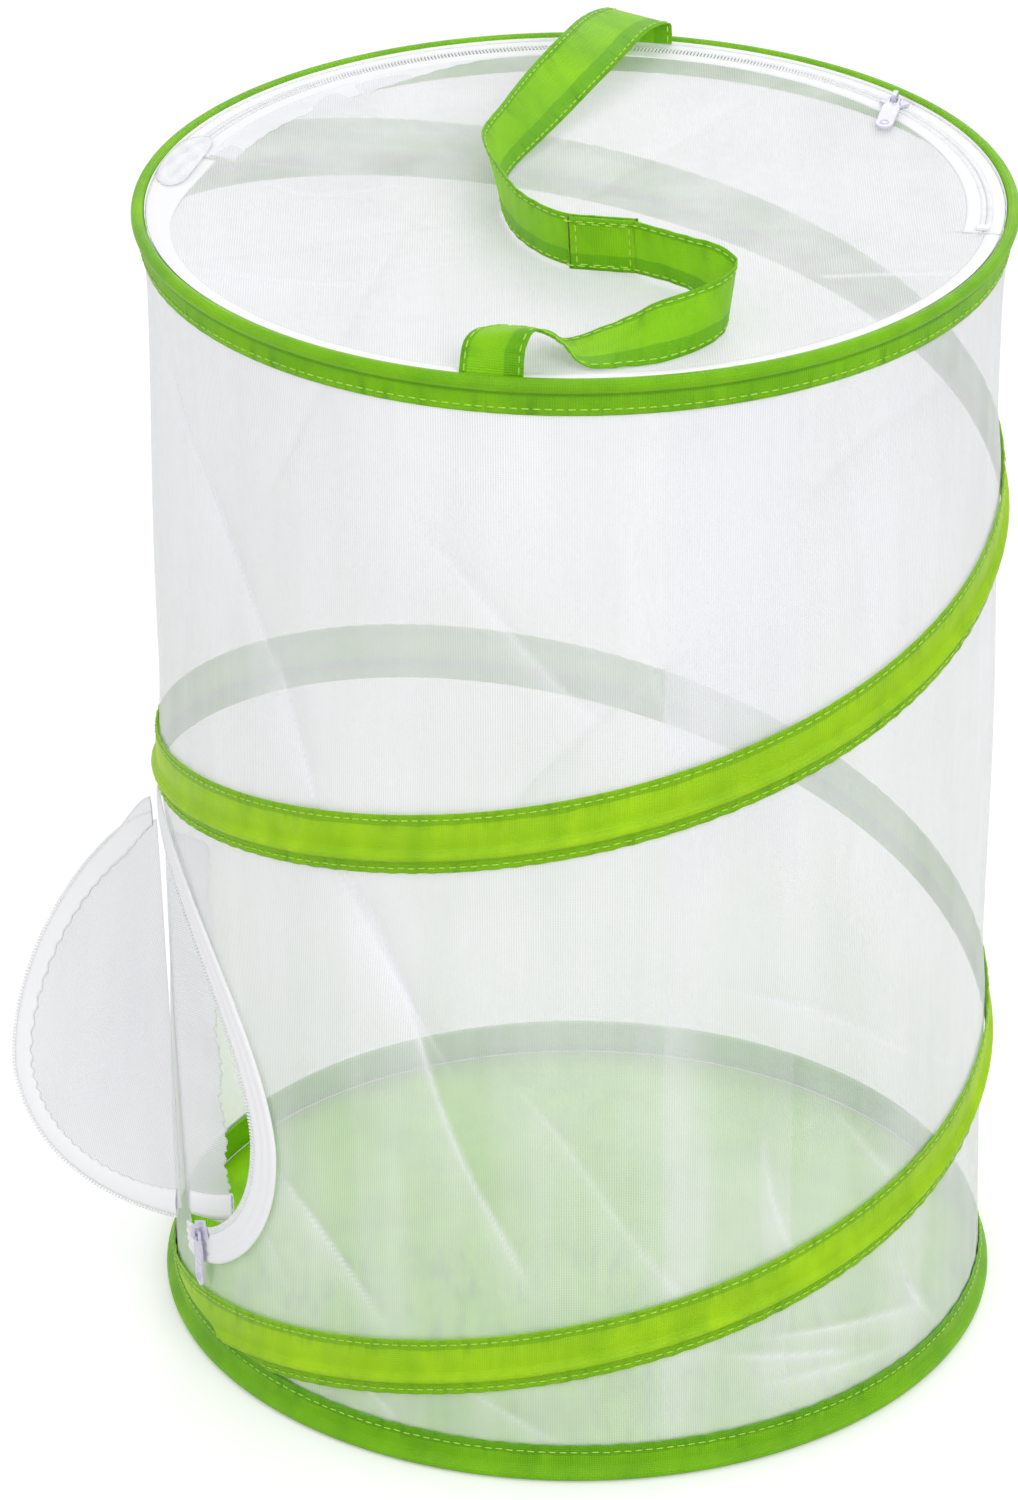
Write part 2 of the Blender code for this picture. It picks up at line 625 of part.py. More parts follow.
def add_lid():
    """The fixed front of the lid, its hem, and the zipped rear half."""
    low = LID_HEIGHT - CLOTH / 2
    high = LID_HEIGHT + CLOTH / 2
    coil_low = LID_HEIGHT - COIL_HEIGHT / 2
    coil_high = LID_HEIGHT + COIL_HEIGHT / 2
    arc_strip("lid_ring_tape", RING_TAPE_INNER, HEM_OUTER, low, high, ZIP_FROM, ZIP_TO, white_tape())
    arc_strip("lid_ring_coil", RING_COIL_INNER, RING_COIL_INNER + COIL_WIDTH, coil_low, coil_high,
              ZIP_FROM, ZIP_TO, white_coil())
    front_from = ZIP_TO + LID_SPLIT_ANGLE
    front_to = ZIP_FROM + 360.0 - LID_SPLIT_ANGLE
    hem_inner = HEM_OUTER - TAPE_WIDTH
    arc_strip("lid_hem", hem_inner, HEM_OUTER, low, high, front_from, front_to, white_tape())
    front = lid_arc(hem_inner - GAP, front_from, front_to)
    flat_outline("lid_front_net", [front], NET, LID_HEIGHT, white_net())
    flap = [arc_strip("lid_flap_tape", FLAP_TAPE_INNER, FLAP_TAPE_OUTER, low, high, ZIP_FROM, ZIP_TO, white_tape())]
    flap.append(arc_strip("lid_flap_coil", FLAP_COIL_OUTER - COIL_WIDTH, FLAP_COIL_OUTER, coil_low, coil_high,
                          ZIP_FROM, ZIP_TO, white_coil()))
    net = lid_arc(FLAP_TAPE_INNER - GAP, ZIP_FROM, ZIP_TO)
    flap.append(flat_outline("lid_flap_net", [net], NET, LID_HEIGHT, white_net()))
    pivot = around((hinge_reach(FLAP_TAPE_INNER - GAP, 0.0) + hinge_reach(hem_inner, LID_SPLIT_ANGLE)) / 2,
                   ZIP_MIDDLE, LID_HEIGHT)
    for piece in flap:
        piece.data.transform(piece.matrix_world)
        piece.matrix_world = Matrix.Identity(4)
        set_pivot(piece, pivot)
    cover_low = coil_high + GAP
    arc_strip("lid_zip_cover", ZIP_RADIUS - END_COVER_INSET, HEM_OUTER, cover_low, cover_low + CLOTH,
              END_COVER_FROM, END_COVER_TO, white_tape())
    add_stop("lid_zip_stop", coil_high + GAP)


def hinge_reach(radius, shortfall):
    """Distance from the cage's axis to the chord through the zip's ends at a radius."""
    return radius * math.cos(math.radians((ZIP_TO - ZIP_FROM) / 2 + shortfall))


def lid_arc(radius, start, end):
    """Outline of a lid panel: an arc closed by its chord."""
    count = round((end - start) / STEP_ANGLE)
    return [around(radius, start + (end - start) * step / count, 0.0).xy for step in range(count + 1)]


def add_stop(name, low):
    """A small clamp across the zip's right end."""
    bpy.ops.mesh.primitive_cube_add(size=1.0)
    stop = bpy.context.active_object
    for holder in list(stop.users_collection):
        holder.objects.unlink(stop)
    stop.name = name
    stop.data.transform(Matrix.Diagonal((STOP_SIZE[1], STOP_SIZE[0], STOP_SIZE[2], 1.0)))
    stop.data.materials.append(white_coil())
    parts.objects.link(stop)
    edge = math.degrees(STOP_SIZE[0] / 2 / ZIP_RADIUS)
    stop.location = around(ZIP_RADIUS, ZIP_FROM + edge, low + STOP_SIZE[2] / 2)
    stop.rotation_euler.z = math.radians(ZIP_FROM + edge)


def add_slider(name, place, heading):
    """Zip slider: two plates on a web that runs between the coils, and a bail for the pull.

    The place is a frame with X along the zip, Y towards the flap and Z up; heading turns the bail.
    The lower plate is only on the fixed side, so that the flap swings past it.
    """
    gap = COIL_HEIGHT / 2 + GAP
    top = gap + SLIDER_PLATE
    web = SLIDER_WEB / 2
    half = SLIDER_WIDTH / 2
    outline = [(half, gap), (half, top), (-half, top), (-half, gap), (-web, gap), (-web, -gap)]
    outline += [(-half, -gap), (-half, -top), (web, -top), (web, gap)]
    sides = (-SLIDER_LENGTH / 2, SLIDER_LENGTH / 2)
    body = swept(name, [[(side, across, up) for across, up in outline] for side in sides], coated_slider())
    leg = BAIL_SPAN / 2
    head = top + BAIL_HEADROOM + BAIL_BAR
    foot = top - SLIDER_PLATE / 2
    arch = [(-leg, foot), (-leg, head - BAIL_BAR / 2), (-leg + BAIL_BAR / 2, head), (leg - BAIL_BAR / 2, head)]
    arch += [(leg, head - BAIL_BAR / 2), (leg, foot), (leg - BAIL_BAR, foot), (leg - BAIL_BAR, head - BAIL_BAR)]
    arch += [(BAIL_BAR - leg, head - BAIL_BAR), (BAIL_BAR - leg, foot)]
    sides = (-BAIL_WIDTH / 2, BAIL_WIDTH / 2)
    bail = swept(name + "_bail", [[(along, side, up) for along, up in arch] for side in sides], coated_slider())
    bail.data.transform(Matrix.Rotation(math.radians(heading), 4, "Z"))
    for piece in (body, bail):
        piece.matrix_world = place
    boolean(body, "UNION", bail)
    return body


def bail_height():
    """Height of a pull's axis over the middle of the coils."""
    return COIL_HEIGHT / 2 + GAP + SLIDER_PLATE + BAIL_HEADROOM / 2


def add_pull(name, place):
    """Pull tab with a window round the bail; X runs from its axis to its tip."""
    neck = PULL_NECK / 2
    half = PULL_WIDTH / 2
    centre = PULL_LENGTH - half
    tip = []
    for step in range(9):
        turn = math.radians(-90 + 180 * step / 8)
        tip.append((centre + half * math.cos(turn), half * math.sin(turn)))
    start = -PULL_WINDOW_FROM
    outline = [(start, -neck), (PULL_WINDOW_TO, -neck), (PULL_SHOULDER, -half)] + tip
    outline += [(PULL_SHOULDER, half), (PULL_WINDOW_TO, neck), (start, neck)]
    side = PULL_WINDOW_WIDTH / 2
    window = [(PULL_WINDOW_FROM, -side), (PULL_WINDOW_TO, -side), (PULL_WINDOW_TO, side), (PULL_WINDOW_FROM, side)]
    pull = flat_outline(name, [outline, window], PULL_THICKNESS, 0.0, coated_slider())
    pull.matrix_world = place
    return pull


def add_lid_slider():
    """The lid's slider on its arc about the cage's axis, with its pull lying inward on the lid."""
    place = Matrix.Translation(around(ZIP_RADIUS, SLIDER_ANGLE, LID_HEIGHT))
    place = place @ Matrix.Rotation(math.radians(SLIDER_ANGLE + 90), 4, "Z")
    body = add_slider("lid_slider", place, LID_PULL_HEADING - SLIDER_ANGLE - 90)
    pivot = around(ZIP_RADIUS, SLIDER_ANGLE, LID_HEIGHT + bail_height())
    turn = Matrix.Rotation(math.radians(LID_PULL_HEADING), 4, "Z")
    turn = turn @ Matrix.Rotation(math.radians(LID_PULL_DIP), 4, "Y")
    add_pull("lid_pull", Matrix.Translation(pivot) @ turn)
    return body


def add_door_slider():
    """The door's slider, parked near the zip's lower end, with its pull hanging."""
    line = door_curve(DOOR_CHAIN_INSET)
    here = DOOR_STEPS - DOOR_SLIDER_BACK
    point = around(DOOR_TAPE_PATH, *line[here])
    along = (around(DOOR_TAPE_PATH, *line[here - 1]) - around(DOOR_TAPE_PATH, *line[here + 1])).normalized()
    outward = Vector((point.x, point.y, 0.0)).normalized()
    along = (along - outward * along.dot(outward)).normalized()
    across = outward.cross(along)
    place = Matrix((along, across, outward)).transposed().to_4x4()
    place.translation = point
    down = math.degrees(math.atan2(-across.z, -along.z))
    add_slider("door_slider", place, down)
    turn = Matrix.Rotation(math.radians(down), 4, "Z") @ Matrix.Rotation(math.radians(DOOR_PULL_DIP), 4, "Y")
    add_pull("door_pull", place @ Matrix.Translation((0.0, 0.0, bail_height())) @ turn)


def smooth(line, count):
    """A smooth curve through a row of points, with so many stretches between two of them."""
    out = []
    for step in range(len(line) - 1):
        before = line[max(step - 1, 0)]
        first, second = line[step], line[step + 1]
        after = line[min(step + 2, len(line) - 1)]
        for place in range(count):
            t = place / count
            bend = 2 * before - 5 * first + 4 * second - after
            cube = 3 * first - before - 3 * second + after
            out.append(first + 0.5 * ((second - before) * t + bend * t ** 2 + cube * t ** 3))
    out.append(line[-1])
    return out


def lap_line(offset):
    """The lap's two ends, moved towards the front by an offset."""
    first = Vector(LAP_FROM) * OUTER_RADIUS
    second = Vector(LAP_TO) * OUTER_RADIUS
    along = (second - first).normalized()
    shift = Vector((along.y, -along.x)) * (offset / math.cos(math.radians(LAP_LEAN)))
    return first + shift, second + shift


def lap_offset():
    """Distance between the halves' middle surfaces where they lie face to face."""
    return CLOTH + 2 * PATCH_THICKNESS + 3 * GAP


def lap_rise(first, second):
    """Direction from the lap's foot to its upper edge."""
    lean = math.radians(LAP_LEAN)
    along = (second - first).normalized()
    return Vector((along.y * math.sin(lean), -along.x * math.sin(lean), math.cos(lean)))


def lap_stations(offset):
    """The lap as strap stations that stand on the lid, a little longer than its tapes."""
    first, second = lap_line(offset)
    lead = (second - first).normalized() * LAP_LEAD
    low = STRAP_FLOOR + CLOTH / 2 - HEIGHT
    rise = lap_rise(first, second) * STRAP_WIDTH
    feet = [Vector((*end, low)) for end in (first - lead, first, second, second + lead)]
    return [(foot, foot + rise) for foot in feet]


def strap_stations(shares):
    """Stations in metres from stations in hoop radii and strap widths."""
    scale = Vector((OUTER_RADIUS, OUTER_RADIUS, STRAP_WIDTH))
    return [(Vector(left) * scale, Vector(right) * scale) for left, right in shares]


def add_strap(name, stations):
    """One half of the carry strap, a ribbon of even width that stands on or over the lid."""
    middles = []
    sides = []
    for left, right in stations:
        middles.append((left + right) / 2)
        sides.append((right - left).normalized())
    rows = []
    for middle, side in zip(smooth(middles, STRAP_SMOOTH), smooth(sides, STRAP_SMOOTH)):
        reach = side.normalized() * (STRAP_WIDTH / 2)
        lift = max(0.0, STRAP_FLOOR + CLOTH / 2 - HEIGHT - middle.z + abs(reach.z))
        middle = middle + Vector((0.0, 0.0, HEIGHT + lift))
        rows.append([middle - reach, middle, middle + reach])
    return sheet(name, rows, CLOTH, green_ribbon())


def add_patch(name, offset):
    """A square of hook or loop tape in the lap."""
    bpy.ops.mesh.primitive_cube_add(size=1.0)
    patch = bpy.context.active_object
    for holder in list(patch.users_collection):
        holder.objects.unlink(patch)
    patch.name = name
    patch.data.transform(Matrix.Diagonal((PATCH_SIDE, PATCH_THICKNESS, PATCH_SIDE, 1.0)))
    patch.data.materials.append(green_ribbon())
    parts.objects.link(patch)
    first, second = lap_line(offset)
    foot = Vector((*((first + second) / 2), STRAP_FLOOR + CLOTH / 2))
    patch.location = foot + lap_rise(first, second) * (STRAP_WIDTH / 2)
    turn = math.atan2(second.y - first.y, second.x - first.x)
    patch.rotation_euler = (math.radians(LAP_LEAN), 0.0, turn)


def add_carry_strap():
    """Both halves of the strap, from their seams on the hoop to the lap, and the lap's tapes."""
    add_strap("rear_strap", strap_stations(REAR_STRAP) + lap_stations(0.0))
    add_strap("front_strap", lap_stations(lap_offset()) + strap_stations(FRONT_STRAP))
    first = CLOTH / 2 + GAP + PATCH_THICKNESS / 2
    add_patch("strap_loop_tape", first)
    add_patch("strap_hook_tape", first + PATCH_THICKNESS + GAP)


def main():
    clear_scene()
    add_hoops()
    add_spiral()
    add_wall_and_floor()
    add_lid()
    add_lid_slider()
    add_door()
    add_door_slider()
    add_carry_strap()


main()
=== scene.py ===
"""Looks for the pop-up butterfly habitat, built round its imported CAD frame.

Every cloth piece is a fine mesh of its own: the net wall with its creases, the ribbon casings with
their puckers and stitches, the lid, the strap and the open door. Metres, +Z up, front towards -Y.
"""
import json
import math

import bpy
import numpy as np
from mathutils import Matrix, Vector
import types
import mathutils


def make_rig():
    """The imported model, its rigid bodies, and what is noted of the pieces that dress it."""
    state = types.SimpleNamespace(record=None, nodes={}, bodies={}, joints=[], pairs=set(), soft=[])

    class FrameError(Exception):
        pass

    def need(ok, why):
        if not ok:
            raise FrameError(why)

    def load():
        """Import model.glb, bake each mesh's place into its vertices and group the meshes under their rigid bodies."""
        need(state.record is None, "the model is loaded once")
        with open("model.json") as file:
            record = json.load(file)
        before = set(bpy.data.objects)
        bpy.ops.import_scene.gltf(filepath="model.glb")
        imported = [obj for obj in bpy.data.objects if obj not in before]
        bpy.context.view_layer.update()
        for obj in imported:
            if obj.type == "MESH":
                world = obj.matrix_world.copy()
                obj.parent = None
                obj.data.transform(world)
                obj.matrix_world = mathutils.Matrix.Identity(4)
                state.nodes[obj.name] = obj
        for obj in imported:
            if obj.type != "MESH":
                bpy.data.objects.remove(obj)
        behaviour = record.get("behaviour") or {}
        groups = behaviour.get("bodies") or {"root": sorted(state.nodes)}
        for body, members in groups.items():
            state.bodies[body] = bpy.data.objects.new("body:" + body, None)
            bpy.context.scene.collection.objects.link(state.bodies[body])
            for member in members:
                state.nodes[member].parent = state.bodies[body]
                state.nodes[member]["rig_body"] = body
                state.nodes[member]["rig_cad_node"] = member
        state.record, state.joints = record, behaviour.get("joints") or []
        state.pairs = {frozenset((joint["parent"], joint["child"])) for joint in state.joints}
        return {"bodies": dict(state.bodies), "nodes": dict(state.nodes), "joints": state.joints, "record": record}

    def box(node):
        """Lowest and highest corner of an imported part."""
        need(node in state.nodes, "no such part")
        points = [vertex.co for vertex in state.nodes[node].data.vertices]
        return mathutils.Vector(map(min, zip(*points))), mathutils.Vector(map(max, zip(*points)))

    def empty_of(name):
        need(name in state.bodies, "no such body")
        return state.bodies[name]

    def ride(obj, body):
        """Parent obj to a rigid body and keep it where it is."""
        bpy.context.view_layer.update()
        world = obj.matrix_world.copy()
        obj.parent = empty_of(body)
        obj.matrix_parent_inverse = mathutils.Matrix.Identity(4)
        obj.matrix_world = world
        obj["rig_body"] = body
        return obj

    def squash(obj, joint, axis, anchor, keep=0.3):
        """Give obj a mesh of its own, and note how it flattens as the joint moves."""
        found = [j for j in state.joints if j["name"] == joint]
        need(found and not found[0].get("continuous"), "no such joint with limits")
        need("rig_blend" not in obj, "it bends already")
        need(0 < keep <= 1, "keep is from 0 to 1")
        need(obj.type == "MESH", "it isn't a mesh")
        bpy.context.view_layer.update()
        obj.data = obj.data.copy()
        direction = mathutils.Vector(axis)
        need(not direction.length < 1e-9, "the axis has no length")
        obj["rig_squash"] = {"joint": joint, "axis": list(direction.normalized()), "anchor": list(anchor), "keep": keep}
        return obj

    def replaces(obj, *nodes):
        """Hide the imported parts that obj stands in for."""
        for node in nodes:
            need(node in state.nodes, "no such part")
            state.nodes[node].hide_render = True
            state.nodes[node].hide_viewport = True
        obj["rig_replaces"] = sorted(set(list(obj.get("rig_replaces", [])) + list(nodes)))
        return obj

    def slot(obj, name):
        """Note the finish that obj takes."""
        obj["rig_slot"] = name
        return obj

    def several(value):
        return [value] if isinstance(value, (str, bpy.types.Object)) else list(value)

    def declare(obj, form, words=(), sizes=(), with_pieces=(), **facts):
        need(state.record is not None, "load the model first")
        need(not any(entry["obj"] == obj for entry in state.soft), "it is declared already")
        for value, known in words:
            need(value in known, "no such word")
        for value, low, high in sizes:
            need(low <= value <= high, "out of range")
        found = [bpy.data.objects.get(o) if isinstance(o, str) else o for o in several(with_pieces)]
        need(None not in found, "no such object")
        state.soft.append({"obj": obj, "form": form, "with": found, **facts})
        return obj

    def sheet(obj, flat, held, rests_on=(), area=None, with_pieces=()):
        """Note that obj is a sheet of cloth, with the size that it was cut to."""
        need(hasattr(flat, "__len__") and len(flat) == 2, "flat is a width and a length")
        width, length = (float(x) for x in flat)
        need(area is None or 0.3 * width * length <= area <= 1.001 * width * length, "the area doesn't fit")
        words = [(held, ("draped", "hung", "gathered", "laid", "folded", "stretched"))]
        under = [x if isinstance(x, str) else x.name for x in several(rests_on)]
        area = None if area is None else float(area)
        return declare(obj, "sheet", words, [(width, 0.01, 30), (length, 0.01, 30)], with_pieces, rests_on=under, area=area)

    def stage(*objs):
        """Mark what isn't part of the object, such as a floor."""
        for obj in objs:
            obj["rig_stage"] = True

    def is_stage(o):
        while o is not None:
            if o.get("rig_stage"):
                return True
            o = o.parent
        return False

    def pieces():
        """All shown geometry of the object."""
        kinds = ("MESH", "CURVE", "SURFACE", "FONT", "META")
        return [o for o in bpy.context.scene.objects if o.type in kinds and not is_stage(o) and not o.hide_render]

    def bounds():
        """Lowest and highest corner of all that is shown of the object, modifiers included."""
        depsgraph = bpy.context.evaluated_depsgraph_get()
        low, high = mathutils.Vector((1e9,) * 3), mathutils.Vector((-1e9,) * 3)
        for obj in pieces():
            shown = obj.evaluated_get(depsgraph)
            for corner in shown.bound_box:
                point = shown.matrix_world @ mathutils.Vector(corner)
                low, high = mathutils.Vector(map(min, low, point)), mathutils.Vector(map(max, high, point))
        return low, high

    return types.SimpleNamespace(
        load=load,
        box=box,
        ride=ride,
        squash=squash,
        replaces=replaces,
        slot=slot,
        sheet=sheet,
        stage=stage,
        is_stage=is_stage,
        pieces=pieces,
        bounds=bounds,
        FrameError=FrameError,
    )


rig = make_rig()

bl_info = {
    "name": "Butterfly habitat looks",
    "version": (1, 0, 0),
    "blender": (4, 5, 0),
    "location": "View3D > Sidebar > Habitat",
    "description": "Dresses the CAD frame of a pop-up net cage in net, ribbon and zips",
    "category": "Object",
}

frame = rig.load()
CAD_LOW, CAD_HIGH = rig.bounds()
JOINTS = {joint["name"]: joint for joint in frame["joints"]}

# Sizes that the CAD frame gives
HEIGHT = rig.box("top_casing")[1].z
HOOP_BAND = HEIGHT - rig.box("top_casing")[0].z
COLLAPSE_KEEP = 1.0 - JOINTS["collapse"]["range_m"][1] / HEIGHT

# Radii and heights of the cage's layers, at the middle of each cloth
NET_RADIUS = 0.19495
RIBBON_RADIUS = 0.19605
LINING_RADIUS = 0.19385
WIRE_RADIUS = 0.1969
WIRE_TOP = HEIGHT - 0.0031
HEM_RADIUS = 0.19315
FLOOR_RADIUS = 0.1947
LID_HEIGHT = HEIGHT - 0.003
MM_PER_DEGREE = 3.4
# Share of the light on the net's pale threads that goes on through them
NET_GLOW = 0.55

# Cloth thicknesses, and how far a thread's middle stands out from the cloth's middle
TAPE_THICK = 0.0006
COVER_THICK = 0.0005
FACING_THICK = 0.0004
FLAP_HEM_THICK = 0.0003
STRAP_THICK = 0.0007
STITCH_LIFT = 0.0005
STRAP_STITCH_LIFT = 0.00045
LAP_STITCH_LIFT = 0.00055
# Small bars for stitches and coil turns: sides, and each station's place and swell
PEG_SIDES = 6
PEG_STATIONS = [(-0.5, 0.45), (-0.3, 1.0), (0.3, 1.0), (0.5, 0.45)]

# Hoop casings: the ribbon's bend over the wire, its flat sides, and its sewn foot
HOOP_COLUMNS = 540
BEND_RADIUS = 0.0027
BEND_ARC = (-38.0, 158.0)
BEND_ROWS = 15
FLANGE_ROWS = 11
FLANGE_DROP = 0.0042
LINING_DROP = 0.0040
FOOT_PRESS = 0.0008
FOOT_PRESS_FADE = 0.0025
HOOP_PUCKER_FADE = 0.0055
EDGE_WAVE = 0.0003
STITCH_ROW = 3

# Spiral ribbon; each sway is a rise, where it is and how far it reaches, in degrees of turn
SPIRAL_TURN = 720.0
SPIRAL_BAND = 0.029
SPIRAL_CLEAR = 0.0003
SPIRAL_LEAST = 0.0015
SPIRAL_WIRE_DROP = 0.006
SPIRAL_WIRE_CLEAR = 0.002
SPIRAL_WIRE_THICK = 0.0011
SPIRAL_BULGE = 0.0028
SPIRAL_SLACK = 0.0005
SPIRAL_PUCKER_FADE = 0.005
SPIRAL_STITCH_INSET = 0.0026
SPIRAL_STITCH_ROOM = 0.0008
SPIRAL_SWAYS = [(0.011, 425.0, 65.0), (-0.007, 262.0, 65.0)]

# Wall net: rows below, beside and above the doorway, and the sewn overlap
WALL_TUCK = 0.45
WALL_ROWS = (24, 58, 70, 176)
WALL_COLUMNS = 841
WALL_SPLIT_FOOT = 199.3
WALL_SPLIT_TOP = 184.5
HOLD_BY_HOOP = 0.015
HOLD_BY_SPIRAL = 0.018
HOLD_BY_DOOR_MM = 14.0
OVERLAP_THIN_BELOW = 0.315
# The overlap and its sewn line: first and last angle, and how far inside the wall
OVERLAP = (281.0, 299.6, 0.0008)
SEWN_LINE = (299.4, 300.0, 0.0012)

# Floor cloth
FLOOR_LIFT = 0.0004
FLOOR_WRINKLE = 0.0005
FLOOR_FLAT_EDGE = 0.03

# Lid: the fold that its rear half hangs on, its nets, hem, tapes and turned-under net
LID_FOLD = np.array([0.0022, 0.0082, 0.0])
LID_FOLD_APART = 1.05
LID_EDGE = 0.012
FRONT_NET = (0.1868, 161.8, 348.2)
REAR_NET_RADIUS = 0.1762
LIP_ARC = (182.0, 150.0)
LIP_RADIUS = 0.0035
LIP_ROWS = 9
HEM_INSIDE = 0.1865
HEM_FROM = 162.6
HEM_TO = 347.4
HOOP_TAPE_INSIDE = 0.1874
FLAP_TAPE_INSIDE = 0.1758
FLAP_TAPE_OUTSIDE = 0.1825
ALLOWANCE_OUTSIDE = 0.1764
ALLOWANCE_FROM = 98.0
ALLOWANCE_TO = 161.0
# Bunched cover at the zip's left end
COVER_ANGLE = 165.0
COVER_HALF_ANGLE = 9.0
COVER_RADIUS = 0.18495
COVER_HALF_WIDTH = 0.0083
COVER_HALF_LENGTH = 0.029
COVER_LIFT = 0.0015

# Zips; angles of the lid's zip in degrees from +X
ZIP_FROM = -12.0
ZIP_TO = 162.0
ZIP_RADIUS = 0.185
COIL_APART = 0.00145
COIL_REACH = 0.0028
COIL_WIDTH = 0.0012
COIL_HEIGHT = 0.0018
SLIDER_ANGLE = 36.0
EDGE_SOFTNESS = 0.0003

# Pulls: thickness and rounding, the tip's arc, the window for the bail, the dimple's ring
PULL_HEADING = 256.0
PULL_DIP = 5.0
PULL_RISE = 0.0042
PULL_THICK = 0.0014
PULL_ROUND = 0.0003
PULL_SHARP = 50.0
PULL_NECK = [(-0.0007, 0.0025), (-0.0003, 0.0029), (0.0050, 0.0029), (0.0066, 0.0034), (0.0082, 0.0042)]
PULL_TIP_FROM = 0.0258
PULL_TIP_RADIUS = 0.0042
PULL_WINDOW = [(0.0007, -0.0017), (0.0050, -0.0017), (0.0050, 0.0017), (0.0007, 0.0017)]
DIMPLE_CENTRE = (0.0252, 0.0, 0.0007)
DIMPLE_RADIUS = 0.0019
DIMPLE_THICK = 0.00035
DOOR_PULL_DIP = 2.0

# Door, as the CAD draws it
DOOR_TOP = 0.265
DOOR_FOOT = 0.052
DOOR_LOW = 0.046
DOOR_TIP = 0.140
DOOR_CROWN_ANGLE = 185.0
DOOR_TIP_ANGLE = 221.5
DOOR_UPPER_POWER = 1.65
DOOR_LOWER_POWER = 2.15
DOOR_HINGE_TOP_ANGLE = 184.0
DOOR_HINGE_FOOT_ANGLE = 198.6
DOOR_HINGE_PROUD = 0.0022
DOOR_OPEN = 142.0
DOOR_COLUMNS = 121
DOOR_FINE_COLUMNS = 241
SEAM_CLEAR = 0.0022

# Doorway's binding and coil: widths at the ends and added by the tip, inner edge, folds, reach
BINDING_RADIUS = 0.19635
BINDING_WIDTH = 0.0110
BINDING_SPREAD = 0.0040
BINDING_EDGE = 0.0050
BINDING_FOLD = 0.0007
DOORWAY_COIL_INSET = 0.00645
DOORWAY_COIL_REACH = 0.0034
FLAP_COIL_INSET = 0.00895
FLAP_COIL_REACH = 0.0015

# Net turned in behind the hinge seam, and the hem's end at its foot
FACING_HEADING = 325.0
FACING_RADIUS = 0.1938
FACING_REACH = 0.026
FACING_COLUMNS = 120
FACING_ROWS = 14
FACING_FROM = DOOR_FOOT + 0.010
FACING_TO = DOOR_TOP - 0.018
FACING_LAP = 0.006
FACING_LAP_ANGLE = 1.76
FACING_WAVE = 0.0012
FACING_FRAY = 0.0025
FACING_HEM_FOOT = DOOR_FOOT + 0.0095
FACING_HEM_WIDTH = 0.0115
FACING_HEM_CURL = 0.005
FACING_HEM_FLAT = 0.0005
FACING_HEM_PUFF = 0.0006

# Flap: where its net ends under the hem, and the hem's width, tucked top and zigzag
FLAP_NET_INSET = 0.012
FLAP_NET_CLEAR = 0.006
FLAP_SEAM_GAP = 0.0008
FLAP_SEAM_SHARE = 0.12
FLAP_SEAM_ROW = 6
FLAP_HEM_INSET = 0.0098
FLAP_HEM_TUCK = 0.0080
FLAP_HEM_TUCK_FROM = 0.72
FLAP_HEM_WIDTH = 0.0075
FLAP_HEM_SPREAD = 0.0060
FLAP_HEM_ZIGZAG = 0.0015
FLAP_HEM_FLAT = 0.00025
FLAP_HEM_PUFF = 0.0008

# Flat sizes that the cloths were cut to
FLAT_SIZES = {
    "wall_overlap": (0.064, 0.530),
    "lid_front": (0.374, 0.192),
    "lid_rear": (0.353, 0.186),
    "zip_end_cover": (0.058, 0.018),
    "door_raw_edge": (0.034, 0.195),
    "door_flap": (0.125, 0.205),
}

# Stage: floor tone, its own light and where it fades to white; lamps' places, sizes and powers
FLOOR_SIZE = 6.0
FLOOR_LEVEL = -0.0005
FLOOR_GREY = 0.80
FLOOR_GLOW = 0.31
FLOOR_FADE = (0.6, 1.6)
SKY_LIGHT = 0.65
SEEN_RAYS = ("Is Camera Ray", "Is Glossy Ray", "Is Transmission Ray")
LAMP_AIM = (0.0, 0.0, 0.3)
LAMPS = [
    ("key", (1.0, -2.2, 2.4), 1.8, 36),
    ("fill", (-2.0, -1.2, 1.6), 1.8, 8),
    ("back", (0.6, 2.2, 2.2), 1.6, 18),
]

# Camera, fitted to the photograph: angles in degrees, focal length and height of the photo in pixels
CAMERA_PITCH = 27.8
CAMERA_ROLL = -0.40
CAMERA_DISTANCE = 3.197
CAMERA_AIM = (-0.0315, 0.2783)
FOCAL_PIXELS = 6814.0
PHOTO_PIXELS = 1500.0
SENSOR_WIDTH = 36.0
CLIP_END = 50.0

# Strap stations: the edge that stands on the lid, the edge above it, heights over the hoop's top
STRAP_WIDTH = 0.028
STRAP_FLOOR = -0.0019
REAR_STRAP = [
    ((0.0480, 0.1864, -0.0019), (0.0205, 0.1914, -0.0019)),
    ((0.0480, 0.1862, 0.0045), (0.0205, 0.1912, 0.0060)),
    ((0.0465, 0.1845, 0.0090), (0.0190, 0.1890, 0.0150)),
    ((0.0350, 0.1640, 0.0120), (0.0085, 0.1700, 0.0205)),
    ((0.0154, 0.1234, 0.0085), (-0.0035, 0.1290, 0.0262)),
    ((-0.0004, 0.0921, 0.0045), (-0.0185, 0.0945, 0.0235)),
    ((-0.0154, 0.0614, 0.0010), (-0.0322, 0.0560, 0.0220)),
    ((-0.0290, 0.0322, -0.0019), (-0.0412, 0.0253, 0.0226)),
    ((-0.0329, 0.0023, -0.0019), (-0.0399, -0.0013, 0.0250)),
    ((-0.0312, -0.0226, -0.0019), (-0.0337, -0.0279, 0.0255)),
    ((-0.0246, -0.0451, -0.0019), (-0.0254, -0.0525, 0.0250)),
    ((-0.0130, -0.0640, -0.0019), (-0.0135, -0.0710, 0.0252)),
]
